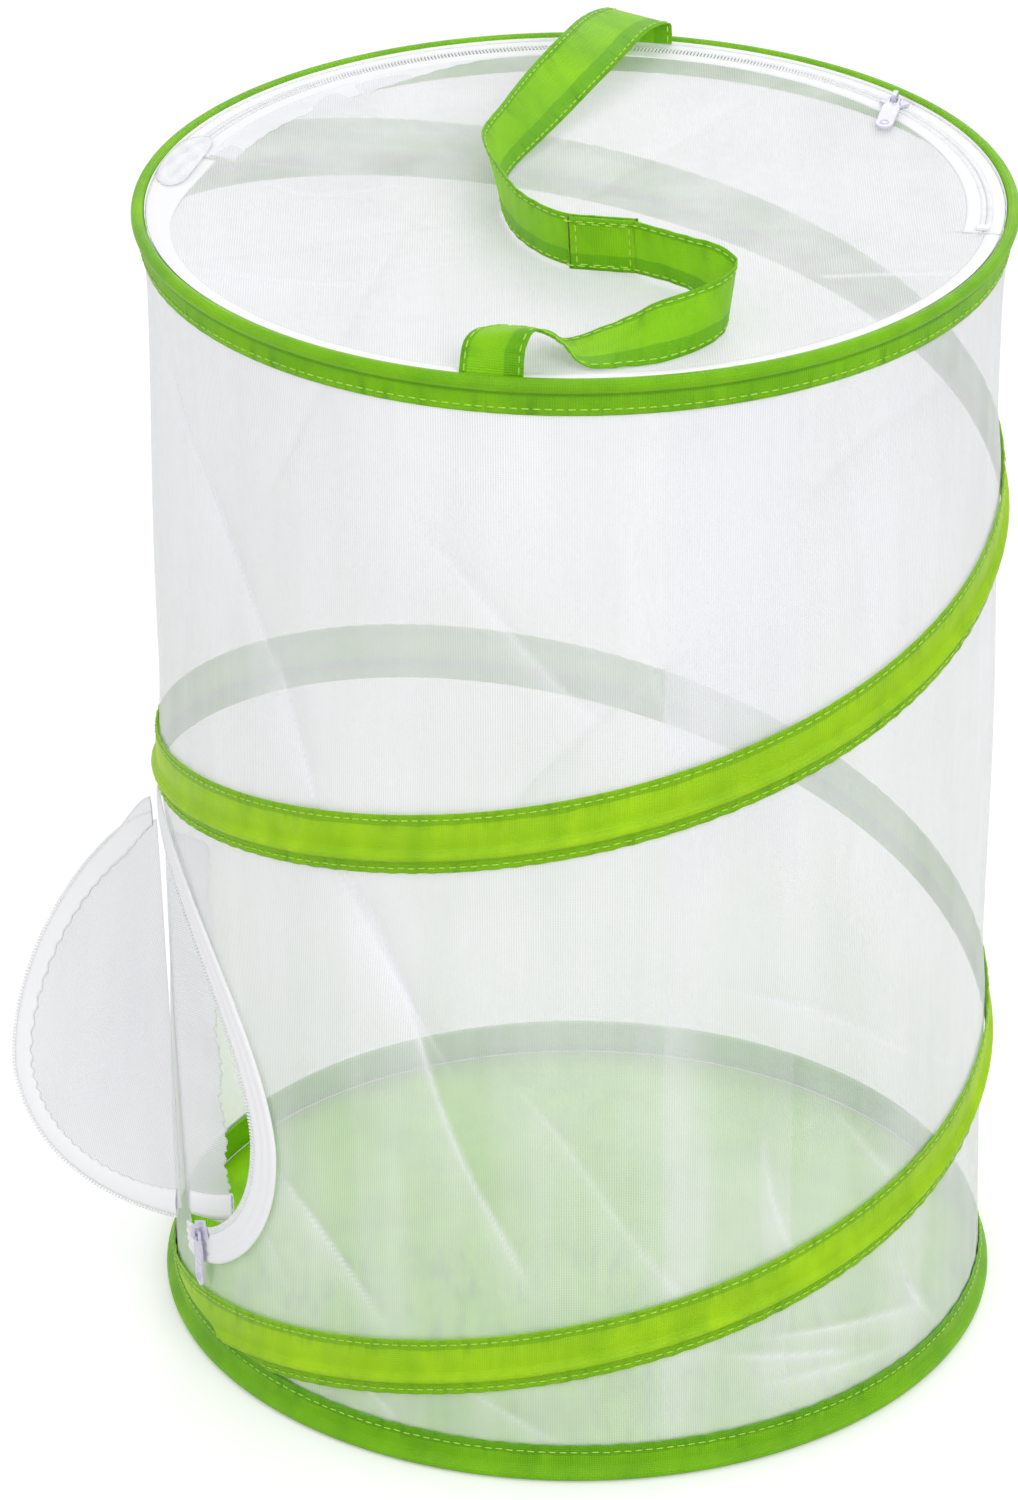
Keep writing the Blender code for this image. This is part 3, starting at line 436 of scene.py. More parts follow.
FRONT_STRAP = [
    ((0.0490, -0.1009, -0.0019), (0.0487, -0.1062, 0.0256)),
    ((0.0629, -0.1310, -0.0019), (0.0668, -0.1222, 0.0244)),
    ((0.0615, -0.1488, -0.0019), (0.0664, -0.1374, 0.0245)),
    ((0.0516, -0.1642, -0.0019), (0.0552, -0.1522, 0.0240)),
    ((0.0359, -0.1763, -0.0019), (0.0379, -0.1597, 0.0205)),
    ((0.0213, -0.1802, -0.0019), (0.0226, -0.1552, 0.0107)),
    ((0.0084, -0.1820, -0.0019), (0.0080, -0.1547, 0.0040)),
    ((-0.0001, -0.1809, 0.0000), (-0.0058, -0.1534, -0.0010)),
    ((-0.0077, -0.1778, 0.0080), (-0.0156, -0.1517, 0.0025)),
    ((-0.0184, -0.1841, 0.0170), (-0.0375, -0.1651, 0.0105)),
    ((-0.0235, -0.1885, 0.0111), (-0.0485, -0.1780, 0.0105)),
    ((-0.0243, -0.1911, -0.0019), (-0.0518, -0.1856, -0.0019)),
]
LAP_FROM = (0.0000, -0.0740)
LAP_TO = (0.0250, -0.0790)
LAP_LEAD = 0.002
LAP_LEAN = 13.0
LAP_OFFSET = 0.0029

# Long creases of the wall net: angle and height of both ends, half width and depth
CREASES = [
    (197.0, 0.520, 226.0, 0.395, 4.0, 0.0030),
    (226.0, 0.395, 262.0, 0.105, 5.0, 0.0032),
    (250.0, 0.475, 273.0, 0.395, 3.0, 0.0020),
    (292.0, 0.250, 322.0, 0.185, 3.5, 0.0024),
    (232.0, 0.330, 251.0, 0.215, 3.0, 0.0018),
    (305.0, 0.520, 315.0, 0.380, 2.6, 0.0014),
    (276.0, 0.500, 286.0, 0.300, 2.4, 0.0010),
    (262.0, 0.200, 290.0, 0.070, 4.0, 0.0014),
    (224.1, 0.126, 241.0, 0.076, 3.0, 0.0030),
    (221.5, 0.094, 224.8, 0.076, 2.4, 0.0020),
    (251.3, 0.052, 267.0, 0.022, 2.6, 0.0022),
    (232.0, 0.050, 244.5, 0.022, 2.6, 0.0022),
    (295.9, 0.166, 300.6, 0.103, 6.0, 0.0020),
    (306.7, 0.169, 320.7, 0.115, 5.0, 0.0018),
    (297.3, 0.064, 323.0, 0.038, 4.0, 0.0026),
    (290.5, 0.061, 311.4, 0.035, 4.0, 0.0024),
    (297.4, 0.039, 318.9, 0.024, 3.0, 0.0020),
    (321.9, 0.070, 329.1, 0.027, 3.0, 0.0032),
    (327.8, 0.176, 334.8, 0.158, 3.0, 0.0018),
    (327.0, 0.117, 341.0, 0.096, 4.5, 0.0030),
    (336.0, 0.120, 350.0, 0.060, 4.5, 0.0026),
    (20.0, 0.450, 55.0, 0.330, 4.0, 0.0024),
    (70.0, 0.250, 105.0, 0.120, 4.0, 0.0024),
    (110.0, 0.480, 140.0, 0.350, 4.0, 0.0024),
    (150.0, 0.220, 172.0, 0.080, 4.0, 0.0020),
]

# Light fold lines in the lid's front half: points along each, and how bright it is
LID_FOLDS = [
    (((-0.1645, -0.0731), (-0.1020, -0.0894), (-0.0530, -0.0652)), 0.35),
    (((-0.1427, 0.0275), (-0.1165, 0.0110), (-0.0827, 0.0207)), 0.35),
    (((0.1092, -0.0832), (0.1766, -0.0811)), 0.80),
]


# Settings

def colour_setting(label, text, default):
    return bpy.props.FloatVectorProperty(
        name=label, description=text, subtype="COLOR", size=3, min=0.0, max=1.0, default=default)


def length_setting(label, text, default, low, high):
    return bpy.props.FloatProperty(
        name=label, description=text, unit="LENGTH", default=default, min=low, max=high)


class HabitatColours(bpy.types.PropertyGroup):
    """Colours of the cage's cloths and fittings"""
    ribbon: colour_setting("Ribbon", "Green nylon of casings, strap and floor", (0.250, 0.575, 0.006))
    ribbon_deep: colour_setting(
        "Ribbon, doubled", "Green where the ribbon is folded double", (0.115, 0.390, 0.003))
    thread: colour_setting("Thread", "Bright thread of the stitches", (0.520, 0.860, 0.080))
    net: colour_setting("Net", "White polyester net", (0.945, 0.945, 0.990))
    tape: colour_setting("Tape", "White woven zip tape and hems", (0.860, 0.865, 0.885))
    slider: colour_setting("Slider", "Coating of the zip sliders and pulls", (0.600, 0.585, 0.720))
    steel: colour_setting("Wire", "Bare spring wire", (0.420, 0.420, 0.430))


class HabitatSizes(bpy.types.PropertyGroup):
    """Fine sizes of the cage's cloth"""
    cloth: length_setting("Cloth", "Thickness of ribbon", 0.0006, 0.0002, 0.0009)
    pucker: length_setting("Pucker", "How far stitched edges ripple", 0.0005, 0.0, 0.002)
    pucker_length: length_setting("Pucker length", "Distance between ripples", 0.011, 0.004, 0.04)
    stitch_pitch: length_setting("Stitch pitch", "Distance between stitches", 0.0050, 0.002, 0.02)
    stitch_length: length_setting("Stitch length", "Length of one stitch", 0.0034, 0.001, 0.02)
    stitch_width: length_setting("Stitch width", "Thickness of the thread", 0.0007, 0.0002, 0.002)
    tooth_pitch: length_setting(
        "Tooth pitch", "Distance between turns of a zip coil", 0.0017, 0.001, 0.004)
    net_pitch: length_setting("Net pitch", "Distance between the net's ribs", 0.0011, 0.0005, 0.005)
    net_cover: bpy.props.FloatProperty(
        name="Net cover", description="Share of the net's area that is thread", subtype="FACTOR",
        default=0.52, min=0.1, max=1.0)


def colours():
    return bpy.context.scene.habitat_colours


def sizes():
    return bpy.context.scene.habitat_sizes


# Number helpers

def clamp(value):
    return np.clip(value, 0.0, 1.0)


def bell(value, width):
    """1 where the value is 0, falling off smoothly within about the width."""
    return np.exp(-(value / width) ** 2)


def ease(share):
    """A share from 0 to 1 with a soft start and end."""
    return share ** 2 * (3.0 - 2.0 * share)


def unit(vectors):
    return vectors / np.maximum(np.linalg.norm(vectors, axis=-1, keepdims=True), 1e-12)


def outward(points):
    """Level directions away from the cage's axis."""
    return unit(points * np.array([1.0, 1.0, 0.0]))


def reach_along(path):
    """How far each point of a path lies from its start, along it."""
    steps = np.linalg.norm(np.diff(path, axis=0), axis=1)
    return np.concatenate([[0.0], np.cumsum(steps)])


def polar(radius, degrees, height):
    """Points round the cage's axis; any of the three may be an array."""
    turn = np.radians(degrees)
    radius, turn, height = np.broadcast_arrays(radius, turn, height)
    return np.stack([radius * np.cos(turn), radius * np.sin(turn), height], axis=-1)


def doubled(count):
    """Places across a cloth folded double, from its free edge to its fold and back, and their sides."""
    across = np.concatenate([np.linspace(1.0, 0.0, count), np.linspace(0.0, 1.0, count)])
    return across, np.repeat([1.0, -1.0], count)


def ripple(distance):
    """Uneven ripples along a stitched edge, from 0 to 1."""
    length = sizes().pucker_length
    main = np.sin(2 * math.pi * distance / length + 1.4 * np.sin(distance / (3.1 * length)))
    slow = np.sin(2 * math.pi * distance / (4.7 * length) + 0.6)
    return 0.5 + 0.5 * main * (0.65 + 0.35 * slow)


def smooth(line, count):
    """A smooth curve through a row of points, with so many stretches between two of them."""
    line = np.array(line, float)
    out = []
    for step in range(len(line) - 1):
        before = line[max(step - 1, 0)]
        first, second = line[step], line[step + 1]
        after = line[min(step + 2, len(line) - 1)]
        for place in range(count):
            t = place / count
            bend = 2 * before - 5 * first + 4 * second - after
            cube = 3 * first - before - 3 * second + after
            out.append(first + 0.5 * ((second - before) * t + bend * t ** 2 + cube * t ** 3))
    out.append(line[-1])
    return np.array(out)


# Mesh helpers

def corners(grid, wrap):
    """The four corners of each cell of a grid, in order."""
    if wrap:
        grid = np.concatenate([grid, grid[:, :1]], axis=1)
    return np.stack([grid[:-1, :-1], grid[:-1, 1:], grid[1:, 1:], grid[1:, :-1]], axis=2)


def link_new(name, data):
    """Put new data into the scene as an object."""
    made = bpy.data.objects.new(name, data)
    bpy.context.scene.collection.objects.link(made)
    return made


def add_piece(name, mesh, material):
    """Put a mesh into the scene as one smooth piece."""
    mesh.materials.append(material)
    mesh.shade_smooth()
    return link_new(name, mesh)


def surface(name, points, cloth, material, wrap=False):
    """A smooth mesh through a grid of points; cloth gives their places along and across it, in metres."""
    rows, columns = points.shape[:2]
    quads = corners(np.arange(rows * columns).reshape(rows, columns), wrap)
    mesh = bpy.data.meshes.new(name)
    mesh.from_pydata(points.reshape(-1, 3).tolist(), [], quads.reshape(-1, 4).tolist())
    uvs = np.stack(np.broadcast_arrays(*cloth), axis=-1)
    layer = mesh.uv_layers.new(name="cloth")
    layer.uv.foreach_set("vector", corners(uvs, False).reshape(-1).astype(np.float32))
    return add_piece(name, mesh, material)


def mark_folds(piece, fold):
    """Keep with its mesh how sharply a cloth is folded, and any painted light and shade on it, for its material."""
    layer = piece.data.attributes.new("fold", "FLOAT", "POINT")
    layer.data.foreach_set("value", np.ascontiguousarray(fold, dtype=np.float32).reshape(-1))


def thicken(piece, thickness):
    """Give a sheet the thickness of its cloth."""
    solid = piece.modifiers.new("cloth", "SOLIDIFY")
    solid.thickness = thickness
    solid.offset = 0.0


def coat(piece, material):
    """Give a CAD piece one material in place of its own."""
    piece.data.materials.clear()
    piece.data.materials.append(material)


def soften_edges(piece, material):
    """Coat a CAD fitting and round off its edges."""
    coat(piece, material)
    bevel = piece.modifiers.new("soft edges", "BEVEL")
    bevel.width = EDGE_SOFTNESS
    bevel.segments = 3
    bevel.limit_method = "ANGLE"


def seat(piece, body, slot, nodes=(), collapses=False):
    """Fix a piece to its CAD body, say what it stands for, and let it fold with the spring if it does."""
    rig.ride(piece, body)
    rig.slot(piece, slot)
    if nodes:
        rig.replaces(piece, *nodes)
    if collapses:
        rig.squash(piece, "collapse", axis=(0, 0, 1), anchor=(0, 0, 0), keep=COLLAPSE_KEEP)
    return piece


def mesh_area(piece):
    return sum(face.area for face in piece.data.polygons)


def declare_sheet(piece, held, rests_on, hems=()):
    """Say what size a cloth was cut to; its flat area is that of its mesh."""
    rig.sheet(piece, flat=FLAT_SIZES[piece.name], held=held, rests_on=rests_on, area=mesh_area(piece),
             with_pieces=hems)


def evenly(path, normals, pitch):
    """Places along a path at an even pitch, with the path's direction and normal there."""
    reach = reach_along(path)
    count = max(1, int(reach[-1] / pitch))
    at = (np.arange(count) + 0.5) * reach[-1] / count
    slope = np.gradient(path, reach, axis=0)
    place, along, up = (
        np.stack([np.interp(at, reach, values[:, axis]) for axis in range(3)], axis=1)
        for values in (path, slope, normals))
    return place, unit(along), unit(up)


def peg_faces():
    """Faces of one small bar: its sides and both ends."""
    count = len(PEG_STATIONS) * PEG_SIDES
    faces = []
    for low in range(0, count - PEG_SIDES, PEG_SIDES):
        high = low + PEG_SIDES
        for here in range(PEG_SIDES):
            there = (here + 1) % PEG_SIDES
            faces.append((low + here, low + there, high + there, high + here))
    return faces + [tuple(reversed(range(PEG_SIDES))), tuple(range(count - PEG_SIDES, count))]


def pegs(name, place, along, up, size, material):
    """A row of small rounded bars of a length, width and height, such as stitches or a zip's turns."""
    length, width, height = size
    side = unit(np.cross(up, along))
    up = unit(np.cross(along, side))
    shapes = []
    for share, swell in PEG_STATIONS:
        for turn in np.radians(np.arange(0, 360, 360 // PEG_SIDES)):
            offset = along * (share * length)
            offset = offset + side * (math.cos(turn) * swell * width / 2)
            offset = offset + up * (math.sin(turn) * swell * height / 2)
            shapes.append(place + offset)
    points = np.stack(shapes, axis=1).reshape(-1, 3)
    bar = peg_faces()
    faces = []
    for start in range(0, len(points), len(shapes)):
        faces += [tuple(start + corner for corner in face) for face in bar]
    mesh = bpy.data.meshes.new(name)
    mesh.from_pydata(points.tolist(), [], faces)
    return add_piece(name, mesh, material)


def stitches(name, path, normals):
    """A run of stitches along a path on a cloth."""
    width = sizes().stitch_width
    size = (sizes().stitch_length, width, width)
    return pegs(name, *evenly(path, normals, sizes().stitch_pitch), size, bright_thread())


def zip_turns(name, path, normals, reach):
    """A row of coil turns that lie across a path."""
    place, along, up = evenly(path, normals, sizes().tooth_pitch)
    return pegs(name, place, np.cross(up, along), up, (reach, COIL_WIDTH, COIL_HEIGHT), coil_nylon())


# Materials

class Recipe:
    """Builds the node tree of one material round its Principled shader."""

    def __init__(self, name):
        self.material = bpy.data.materials.new(name)
        self.material.use_nodes = True
        self.tree = self.material.node_tree
        self.shader = self.tree.nodes["Principled BSDF"]

    def add(self, kind, **settings):
        node = self.tree.nodes.new(kind)
        for key, value in settings.items():
            setattr(node, key, value)
        return node

    def link(self, source, target):
        self.tree.links.new(source, target)

    def feed(self, target, value):
        """Give a socket a number, a colour or another node's output."""
        if isinstance(value, bpy.types.NodeSocket):
            self.link(value, target)
        elif isinstance(value, (int, float)):
            target.default_value = value
        else:
            target.default_value = (*value, 1.0)

    def math(self, operation, first, second=0.0, third=0.0):
        node = self.add("ShaderNodeMath", operation=operation)
        for socket, value in zip(node.inputs, (first, second, third)):
            self.feed(socket, value)
        return node.outputs[0]

    def times(self, first, second):
        return self.math("MULTIPLY", first, second)

    def plus(self, first, second):
        return self.math("ADD", first, second)

    def minus(self, first, second):
        return self.math("SUBTRACT", first, second)

    def uv(self):
        """The cloth's own coordinates in metres, along and across."""
        parts = self.add("ShaderNodeSeparateXYZ")
        self.link(self.add("ShaderNodeUVMap", uv_map="cloth").outputs[0], parts.inputs[0])
        return parts.outputs[0], parts.outputs[1]

    def place(self):
        return self.add("ShaderNodeTexCoord").outputs["Object"]

    def noise(self, scale, detail=2.0, stretch=None, turn=(0.0, 0.0, 0.0), at=None):
        """Noise at a place, which is the object's own unless it is given."""
        node = self.add("ShaderNodeTexNoise")
        node.inputs["Scale"].default_value = scale
        node.inputs["Detail"].default_value = detail
        source = self.place() if at is None else at
        if stretch:
            mapping = self.add("ShaderNodeMapping")
            mapping.inputs["Scale"].default_value = stretch
            mapping.inputs["Rotation"].default_value = turn
            self.link(source, mapping.inputs["Vector"])
            source = mapping.outputs[0]
        self.link(source, node.inputs["Vector"])
        return node.outputs[0]

    def crimp(self, along, across, scale):
        """Noise drawn out across a ribbon, as the puckers that run in from its stitches."""
        spot = self.add("ShaderNodeCombineXYZ")
        self.link(along, spot.inputs[0])
        self.link(self.times(across, 0.2), spot.inputs[1])
        return self.noise(scale, at=spot.outputs[0])

    def rib(self, coordinate, pitch):
        """A smooth wave from 0 to 1 along a coordinate."""
        wave = self.math("SINE", self.times(coordinate, 2 * math.pi / pitch))
        return self.math("MULTIPLY_ADD", wave, 0.5, 0.5)

    def spread(self, value, low, high, to_low=0.0, to_high=1.0):
        node = self.add("ShaderNodeMapRange")
        for socket, number in zip(node.inputs[1:5], (low, high, to_low, to_high)):
            socket.default_value = number
        self.link(value, node.inputs[0])
        return node.outputs[0]

    def mix(self, share, first, second):
        node = self.add("ShaderNodeMix", data_type="RGBA")
        for socket, value in zip((node.inputs[0], *node.inputs[6:8]), (share, first, second)):
            self.feed(socket, value)
        return node.outputs[2]

    def bump(self, height, depth):
        node = self.add("ShaderNodeBump")
        node.inputs["Strength"].default_value = 1.0
        node.inputs["Distance"].default_value = depth
        self.link(height, node.inputs["Height"])
        self.link(node.outputs[0], self.shader.inputs["Normal"])

    def put(self, **values):
        """Set the shader's sockets by their names in small letters."""
        for key, value in values.items():
            self.feed(self.shader.inputs[key.replace("_", " ").title().replace("Ior", "IOR")], value)


def tinted(colour, tint):
    """A colour times a tint, which is one number or one for each channel."""
    return tuple(np.multiply(colour, tint).tolist())


NOWHERE = -1.0
# Darker tint of the hoops' ribbon green: painted shade
HOOP_PAINTED_SHADE_TINT = (0.80, 0.87, 1.0)
# Ribbons: widths of the lower and upper hem, whole width, tint, and where a line of painted shade runs in the groove
# beside the wire. The tints make lit and shaded copies of the one ribbon green.
RIBBONS = {
    "hoop_ribbon": (0.0, 0.0, 1.0, HOOP_PAINTED_SHADE_TINT, HOOP_BAND - 0.0080),
    "foot_ribbon": (0.0048, 0.0, 1.0, HOOP_PAINTED_SHADE_TINT, NOWHERE),
    # The spiral's lighter, yellower tint is painted light, as if lit through the ribbon
    "spiral_ribbon": (0.0052, 0.0052, SPIRAL_BAND, (1.45, 1.10, 1.6),
                      SPIRAL_BAND / 2 - SPIRAL_WIRE_DROP - 0.0026),
    "strap_ribbon": (0.0085, 0.0035, STRAP_WIDTH, (1.04, 1.04, 1.0), NOWHERE),
    # The floor cloth's lighter tint is painted light
    "floor_cloth": (NOWHERE, NOWHERE, 2.0, (1.27, 1.22, 1.1), NOWHERE),
}
# Nets: share of the plain net's cover, and tint
NETS = {
    "wall_net_cloth": (1.0, 1.0),
    "doubled_net_cloth": (0.80, 1.0),
    "lid_net_cloth": (1.10, 0.96),
    # The flap's net has a darker tint: painted shade
    "flap_net_cloth": (1.30, 0.83),
    "bunched_net_cloth": (1.70, 1.0),
}


def ribbon_recipe(name, hem_low, hem_high, width, tint, crease):
    """Satin nylon ribbon: fine weave, puckers with painted shade, darker doubled hems, and a line of painted shade in
    the groove beside its wire.
    """
    made = Recipe(name)
    along, across = made.uv()
    plain = tinted(colours().ribbon, tint)
    deep = tinted(colours().ribbon_deep, tint)
    shade = made.spread(made.noise(26.0, 3.0), 0.35, 0.7)
    streak = made.spread(made.noise(60.0, 2.0, (1.0, 1.0, 0.25)), 0.4, 0.7)
    body = made.mix(shade, plain, tinted(plain, (1.22, 1.16, 1.0)))
    body = made.mix(made.times(streak, 0.34), body, deep)
    edge = made.math("MULTIPLY_ADD", made.minus(made.noise(75.0), 0.5), 0.002, across)
    low = made.spread(edge, hem_low - 0.0003, hem_low + 0.0003, 1.0, 0.0)
    high = made.spread(edge, width - hem_high - 0.0003, width - hem_high + 0.0003)
    hem = made.math("MAXIMUM", low, high)
    colour = made.mix(made.times(hem, 0.62), body, deep)
    nearest = made.math("MINIMUM", across, made.minus(width, across))
    near = made.spread(nearest, 0.001, 0.011, 1.0, 0.0)
    pucker = made.times(near, made.spread(made.crimp(along, across, 170.0), 0.50, 0.70))
    # Painted shade: the ribbon goes darker green in the puckers by its stitched edges
    colour = made.mix(made.times(pucker, 0.55), colour, tinted(deep, (0.70, 0.78, 1.0)))
    # Painted shade: a darker line in the groove beside the wire
    beside = made.math("ABSOLUTE", made.minus(across, crease))
    painted_groove_shade = made.spread(beside, 0.0003, 0.0013, 1.0, 0.0)
    colour = made.mix(made.times(painted_groove_shade, 0.55), colour, tinted(deep, (0.75, 0.80, 1.0)))
    weave = made.plus(made.rib(along, 0.0011), made.rib(across, 0.0011))
    soft = made.times(made.noise(300.0), 0.8)
    rough = made.math("MULTIPLY_ADD", pucker, -4.0, made.times(hem, 0.9))
    made.bump(made.plus(made.plus(weave, soft), rough), 0.00012)
    made.put(base_color=colour, roughness=made.spread(shade, 0.0, 1.0, 0.38, 0.50),
             specular_ior_level=0.18, subsurface_weight=0.75, subsurface_scale=0.0012)
    made.shader.inputs["Subsurface Radius"].default_value = (1.0, 1.0, 0.5)
    return made.material


def net_recipe(name, share, tint):
    """Fine see-through net: ribs and cross threads that show in patches, drifting cover with painted diagonal sheen
    streaks, and bright folds that also carry painted light and shade.
    """
    made = Recipe(name)
    along, across = made.uv()
    pitch = sizes().net_pitch
    cover = sizes().net_cover * share
    weave = made.math("MAXIMUM", made.rib(along, pitch), made.times(made.rib(across, pitch * 0.8), 0.8))
    patch = made.spread(made.noise(11.0, 2.0), 0.42, 0.62, 0.05, 0.24)
    thread = made.times(made.minus(weave, 0.55), patch)
    slow = made.noise(7.0, 3.0)
    # Painted sheen: long diagonal streaks where the net is more opaque and so brighter
    streak = made.noise(26.0, 3.0, (1.0, 1.0, 0.12), (0.0, math.radians(24.0), 0.0))
    loose = made.spread(slow, 0.3, 0.7, cover - 0.06, cover + 0.07)
    cover_drift_and_sheen = made.plus(loose, made.spread(streak, 0.35, 0.75, -0.06, 0.13))
    fold = made.add("ShaderNodeAttribute", attribute_name="fold").outputs["Fac"]
    alpha = made.math("MULTIPLY_ADD", fold, 0.36, made.plus(thread, cover_drift_and_sheen))
    alpha = made.math("MAXIMUM", made.math("MINIMUM", alpha, 0.97), 0.04)
    lamp_ray = made.add("ShaderNodeLightPath").outputs["Is Shadow Ray"]
    alpha = made.times(alpha, made.math("MULTIPLY_ADD", lamp_ray, -NET_GLOW, 1.0))
    bright = tinted(colours().net, tint)
    colour = made.mix(made.spread(slow, 0.3, 0.7), tinted(bright, 0.96), bright)
    made.put(base_color=colour, roughness=0.5, alpha=alpha, sheen_weight=0.1, sheen_roughness=0.5)
    made.bump(weave, 0.00012)
    return made.material


def ribbon(name):
    return bpy.data.materials.get(name) or ribbon_recipe(name, *RIBBONS[name])


def net(name):
    return bpy.data.materials.get(name) or net_recipe(name, *NETS[name])


def kept(make):
    """Make a material once and share it."""
    def found():
        name = make.__name__
        return bpy.data.materials.get(name) or make(name)
    return found


def plain_recipe(name, dark, light, patches, dents, roughness, **looks):
    """One colour in patches with fine dents; patches: scale, detail, limits; dents: scale, depth."""
    made = Recipe(name)
    scale, detail, low, high = patches
    shade = made.spread(made.noise(scale, detail), low, high)
    if isinstance(roughness, tuple):
        grain, smoothest, roughest = roughness
        roughness = made.spread(made.noise(grain), 0.3, 0.7, smoothest, roughest)
    made.put(base_color=made.mix(shade, dark, light), roughness=roughness, **looks)
    made.bump(made.noise(dents[0]), dents[1])
    return made.material


@kept
def bright_thread(name):
    """Twisted polyester thread."""
    thread = colours().thread
    return plain_recipe(name, tinted(thread, 0.75), thread, (900.0, 2.0, 0.35, 0.7), (2500.0, 0.0001), 0.5)


@kept
def coil_nylon(name):
    """Smooth white monofilament."""
    return plain_recipe(name, (0.86, 0.87, 0.90), (0.94, 0.94, 0.96), (200.0, 2.0, 0.3, 0.7),
                        (1500.0, 0.00005), 0.32)


@kept
def slider_coating(name):
    """Pale coating on cast metal, a little worn."""
    worn = tuple(min(1.0, part) for part in tinted(colours().slider, 1.15))
    return plain_recipe(name, colours().slider, worn, (220.0, 4.0, 0.35, 0.75), (700.0, 0.00006),
                        (500.0, 0.22, 0.38), coat_weight=0.4, coat_roughness=0.2)


@kept
def drawn_wire(name):
    """Bare drawn spring wire."""
    steel = colours().steel
    return plain_recipe(name, tinted(steel, 0.7), steel, (300.0, 4.0, 0.3, 0.75), (1200.0, 0.00005),
                        (700.0, 0.25, 0.45), metallic=1.0)


@kept
def hook_pile(name):
    """Short green pile of hook and loop tape."""
    pile = colours().ribbon_deep
    return plain_recipe(name, tinted(pile, 0.6), pile, (900.0, 3.0, 0.3, 0.7), (2200.0, 0.0004), 0.9)


@kept
def white_tape(name):
    """Woven tape with a herringbone rib."""
    made = Recipe(name)
    along, across = made.uv()
    slant = made.plus(along, made.math("ABSOLUTE", made.minus(across, 0.004)))
    shade = made.spread(made.noise(40.0, 3.0), 0.3, 0.7)
    tape = colours().tape
    made.put(base_color=made.mix(shade, tinted(tape, 0.94), tape), roughness=0.75, sheen_weight=0.2)
    made.bump(made.plus(made.rib(slant, 0.0014), made.noise(400.0)), 0.0002)
    return made.material


# Cage: hoops, spiral, wall and floor

def hoop_section():
    """Middle line of the ribbon round the top hoop: outer flange, over the wire, inner lining."""
    foot = HEIGHT - HOOP_BAND
    outer = [(RIBBON_RADIUS, z) for z in np.linspace(foot, WIRE_TOP - FLANGE_DROP, FLANGE_ROWS)]
    bend = []
    for turn in np.radians(np.linspace(*BEND_ARC, BEND_ROWS)):
        bend.append((WIRE_RADIUS + BEND_RADIUS * math.cos(turn), WIRE_TOP + BEND_RADIUS * math.sin(turn)))
    inner = [(LINING_RADIUS, z) for z in np.linspace(WIRE_TOP - LINING_DROP, foot, FLANGE_ROWS)]
    return np.array(outer + bend + inner)


def hoop_piece(name, body, node, flip, material):
    """One hoop's ribbon, rippled at its stitched foot, and its run of stitches."""
    section = hoop_section()
    degrees = np.arange(HOOP_COLUMNS) * 360.0 / HOOP_COLUMNS
    distance = np.radians(degrees) * RIBBON_RADIUS
    swell = ripple(distance)[None, :]
    above = (section[:, 1] - section[0, 1])[:, None]
    fade = np.exp(-above / HOOP_PUCKER_FADE)
    outer = (np.arange(len(section)) <= FLANGE_ROWS)[:, None]
    pressed = FOOT_PRESS * np.exp(-above / FOOT_PRESS_FADE) * outer
    radius = section[:, :1] - pressed + sizes().pucker * swell * fade * outer
    height = section[:, 1:] + EDGE_WAVE * (swell - 0.5) * fade
    if flip:
        height = HEIGHT - height
    points = polar(radius, degrees[None, :], height)
    around = np.append(distance, 2 * math.pi * RIBBON_RADIUS)
    piece = surface(name, points, (around[None, :], reach_along(section)[:, None]), material, wrap=True)
    thicken(piece, sizes().cloth)
    seat(piece, body, "green_ribbon", [node])
    path = np.concatenate([points[STITCH_ROW], points[STITCH_ROW, :1]])
    normals = outward(path)
    seat(stitches(name + "_stitches", path + normals * STITCH_LIFT, normals), body, "green_ribbon")


def hoop_pieces():
    """Both hoops: ribbon casings, and the CAD's wires and ferrules as bare steel."""
    hoop_piece("top_hoop_ribbon", "top_frame", "top_casing", False, ribbon("hoop_ribbon"))
    hoop_piece("bottom_hoop_ribbon", "base", "bottom_casing", True, ribbon("foot_ribbon"))
    for name in ("top_hoop_wire", "bottom_hoop_wire", "top_hoop_ferrule", "bottom_hoop_ferrule"):
        coat(frame["nodes"][name], drawn_wire())


def spiral_middle(turn):
    """Height of the middle of the spiral's ribbon after so many degrees."""
    height = HEIGHT * (1.0 - turn / SPIRAL_TURN)
    for rise, place, reach in SPIRAL_SWAYS:
        height = height + rise * bell(turn - place, reach)
    return height


def spiral_profile(rise):
    """Radius of the ribbon at a height over its middle: flat, with the wire's bulge low down."""
    bulge = SPIRAL_BULGE * np.exp(-(np.abs(rise + SPIRAL_WIRE_DROP) / 0.0022) ** 2.6)
    return RIBBON_RADIUS + bulge + SPIRAL_SLACK * bell(rise - 0.004, 0.005)


def spiral_points(turn, rise):
    """Points of the ribbon, rippled along both stitched edges."""
    distance = np.radians(turn) * RIBBON_RADIUS
    half = SPIRAL_BAND / 2
    upper = np.exp(-(half - rise) / SPIRAL_PUCKER_FADE) * ripple(distance)
    lower = np.exp(-(half + rise) / SPIRAL_PUCKER_FADE) * ripple(distance * 1.07 + 0.02)
    radius = spiral_profile(rise) + sizes().pucker * (upper + lower)
    height = spiral_middle(turn) + rise + EDGE_WAVE * (upper - lower)
    return polar(radius, 180.0 - turn, height)


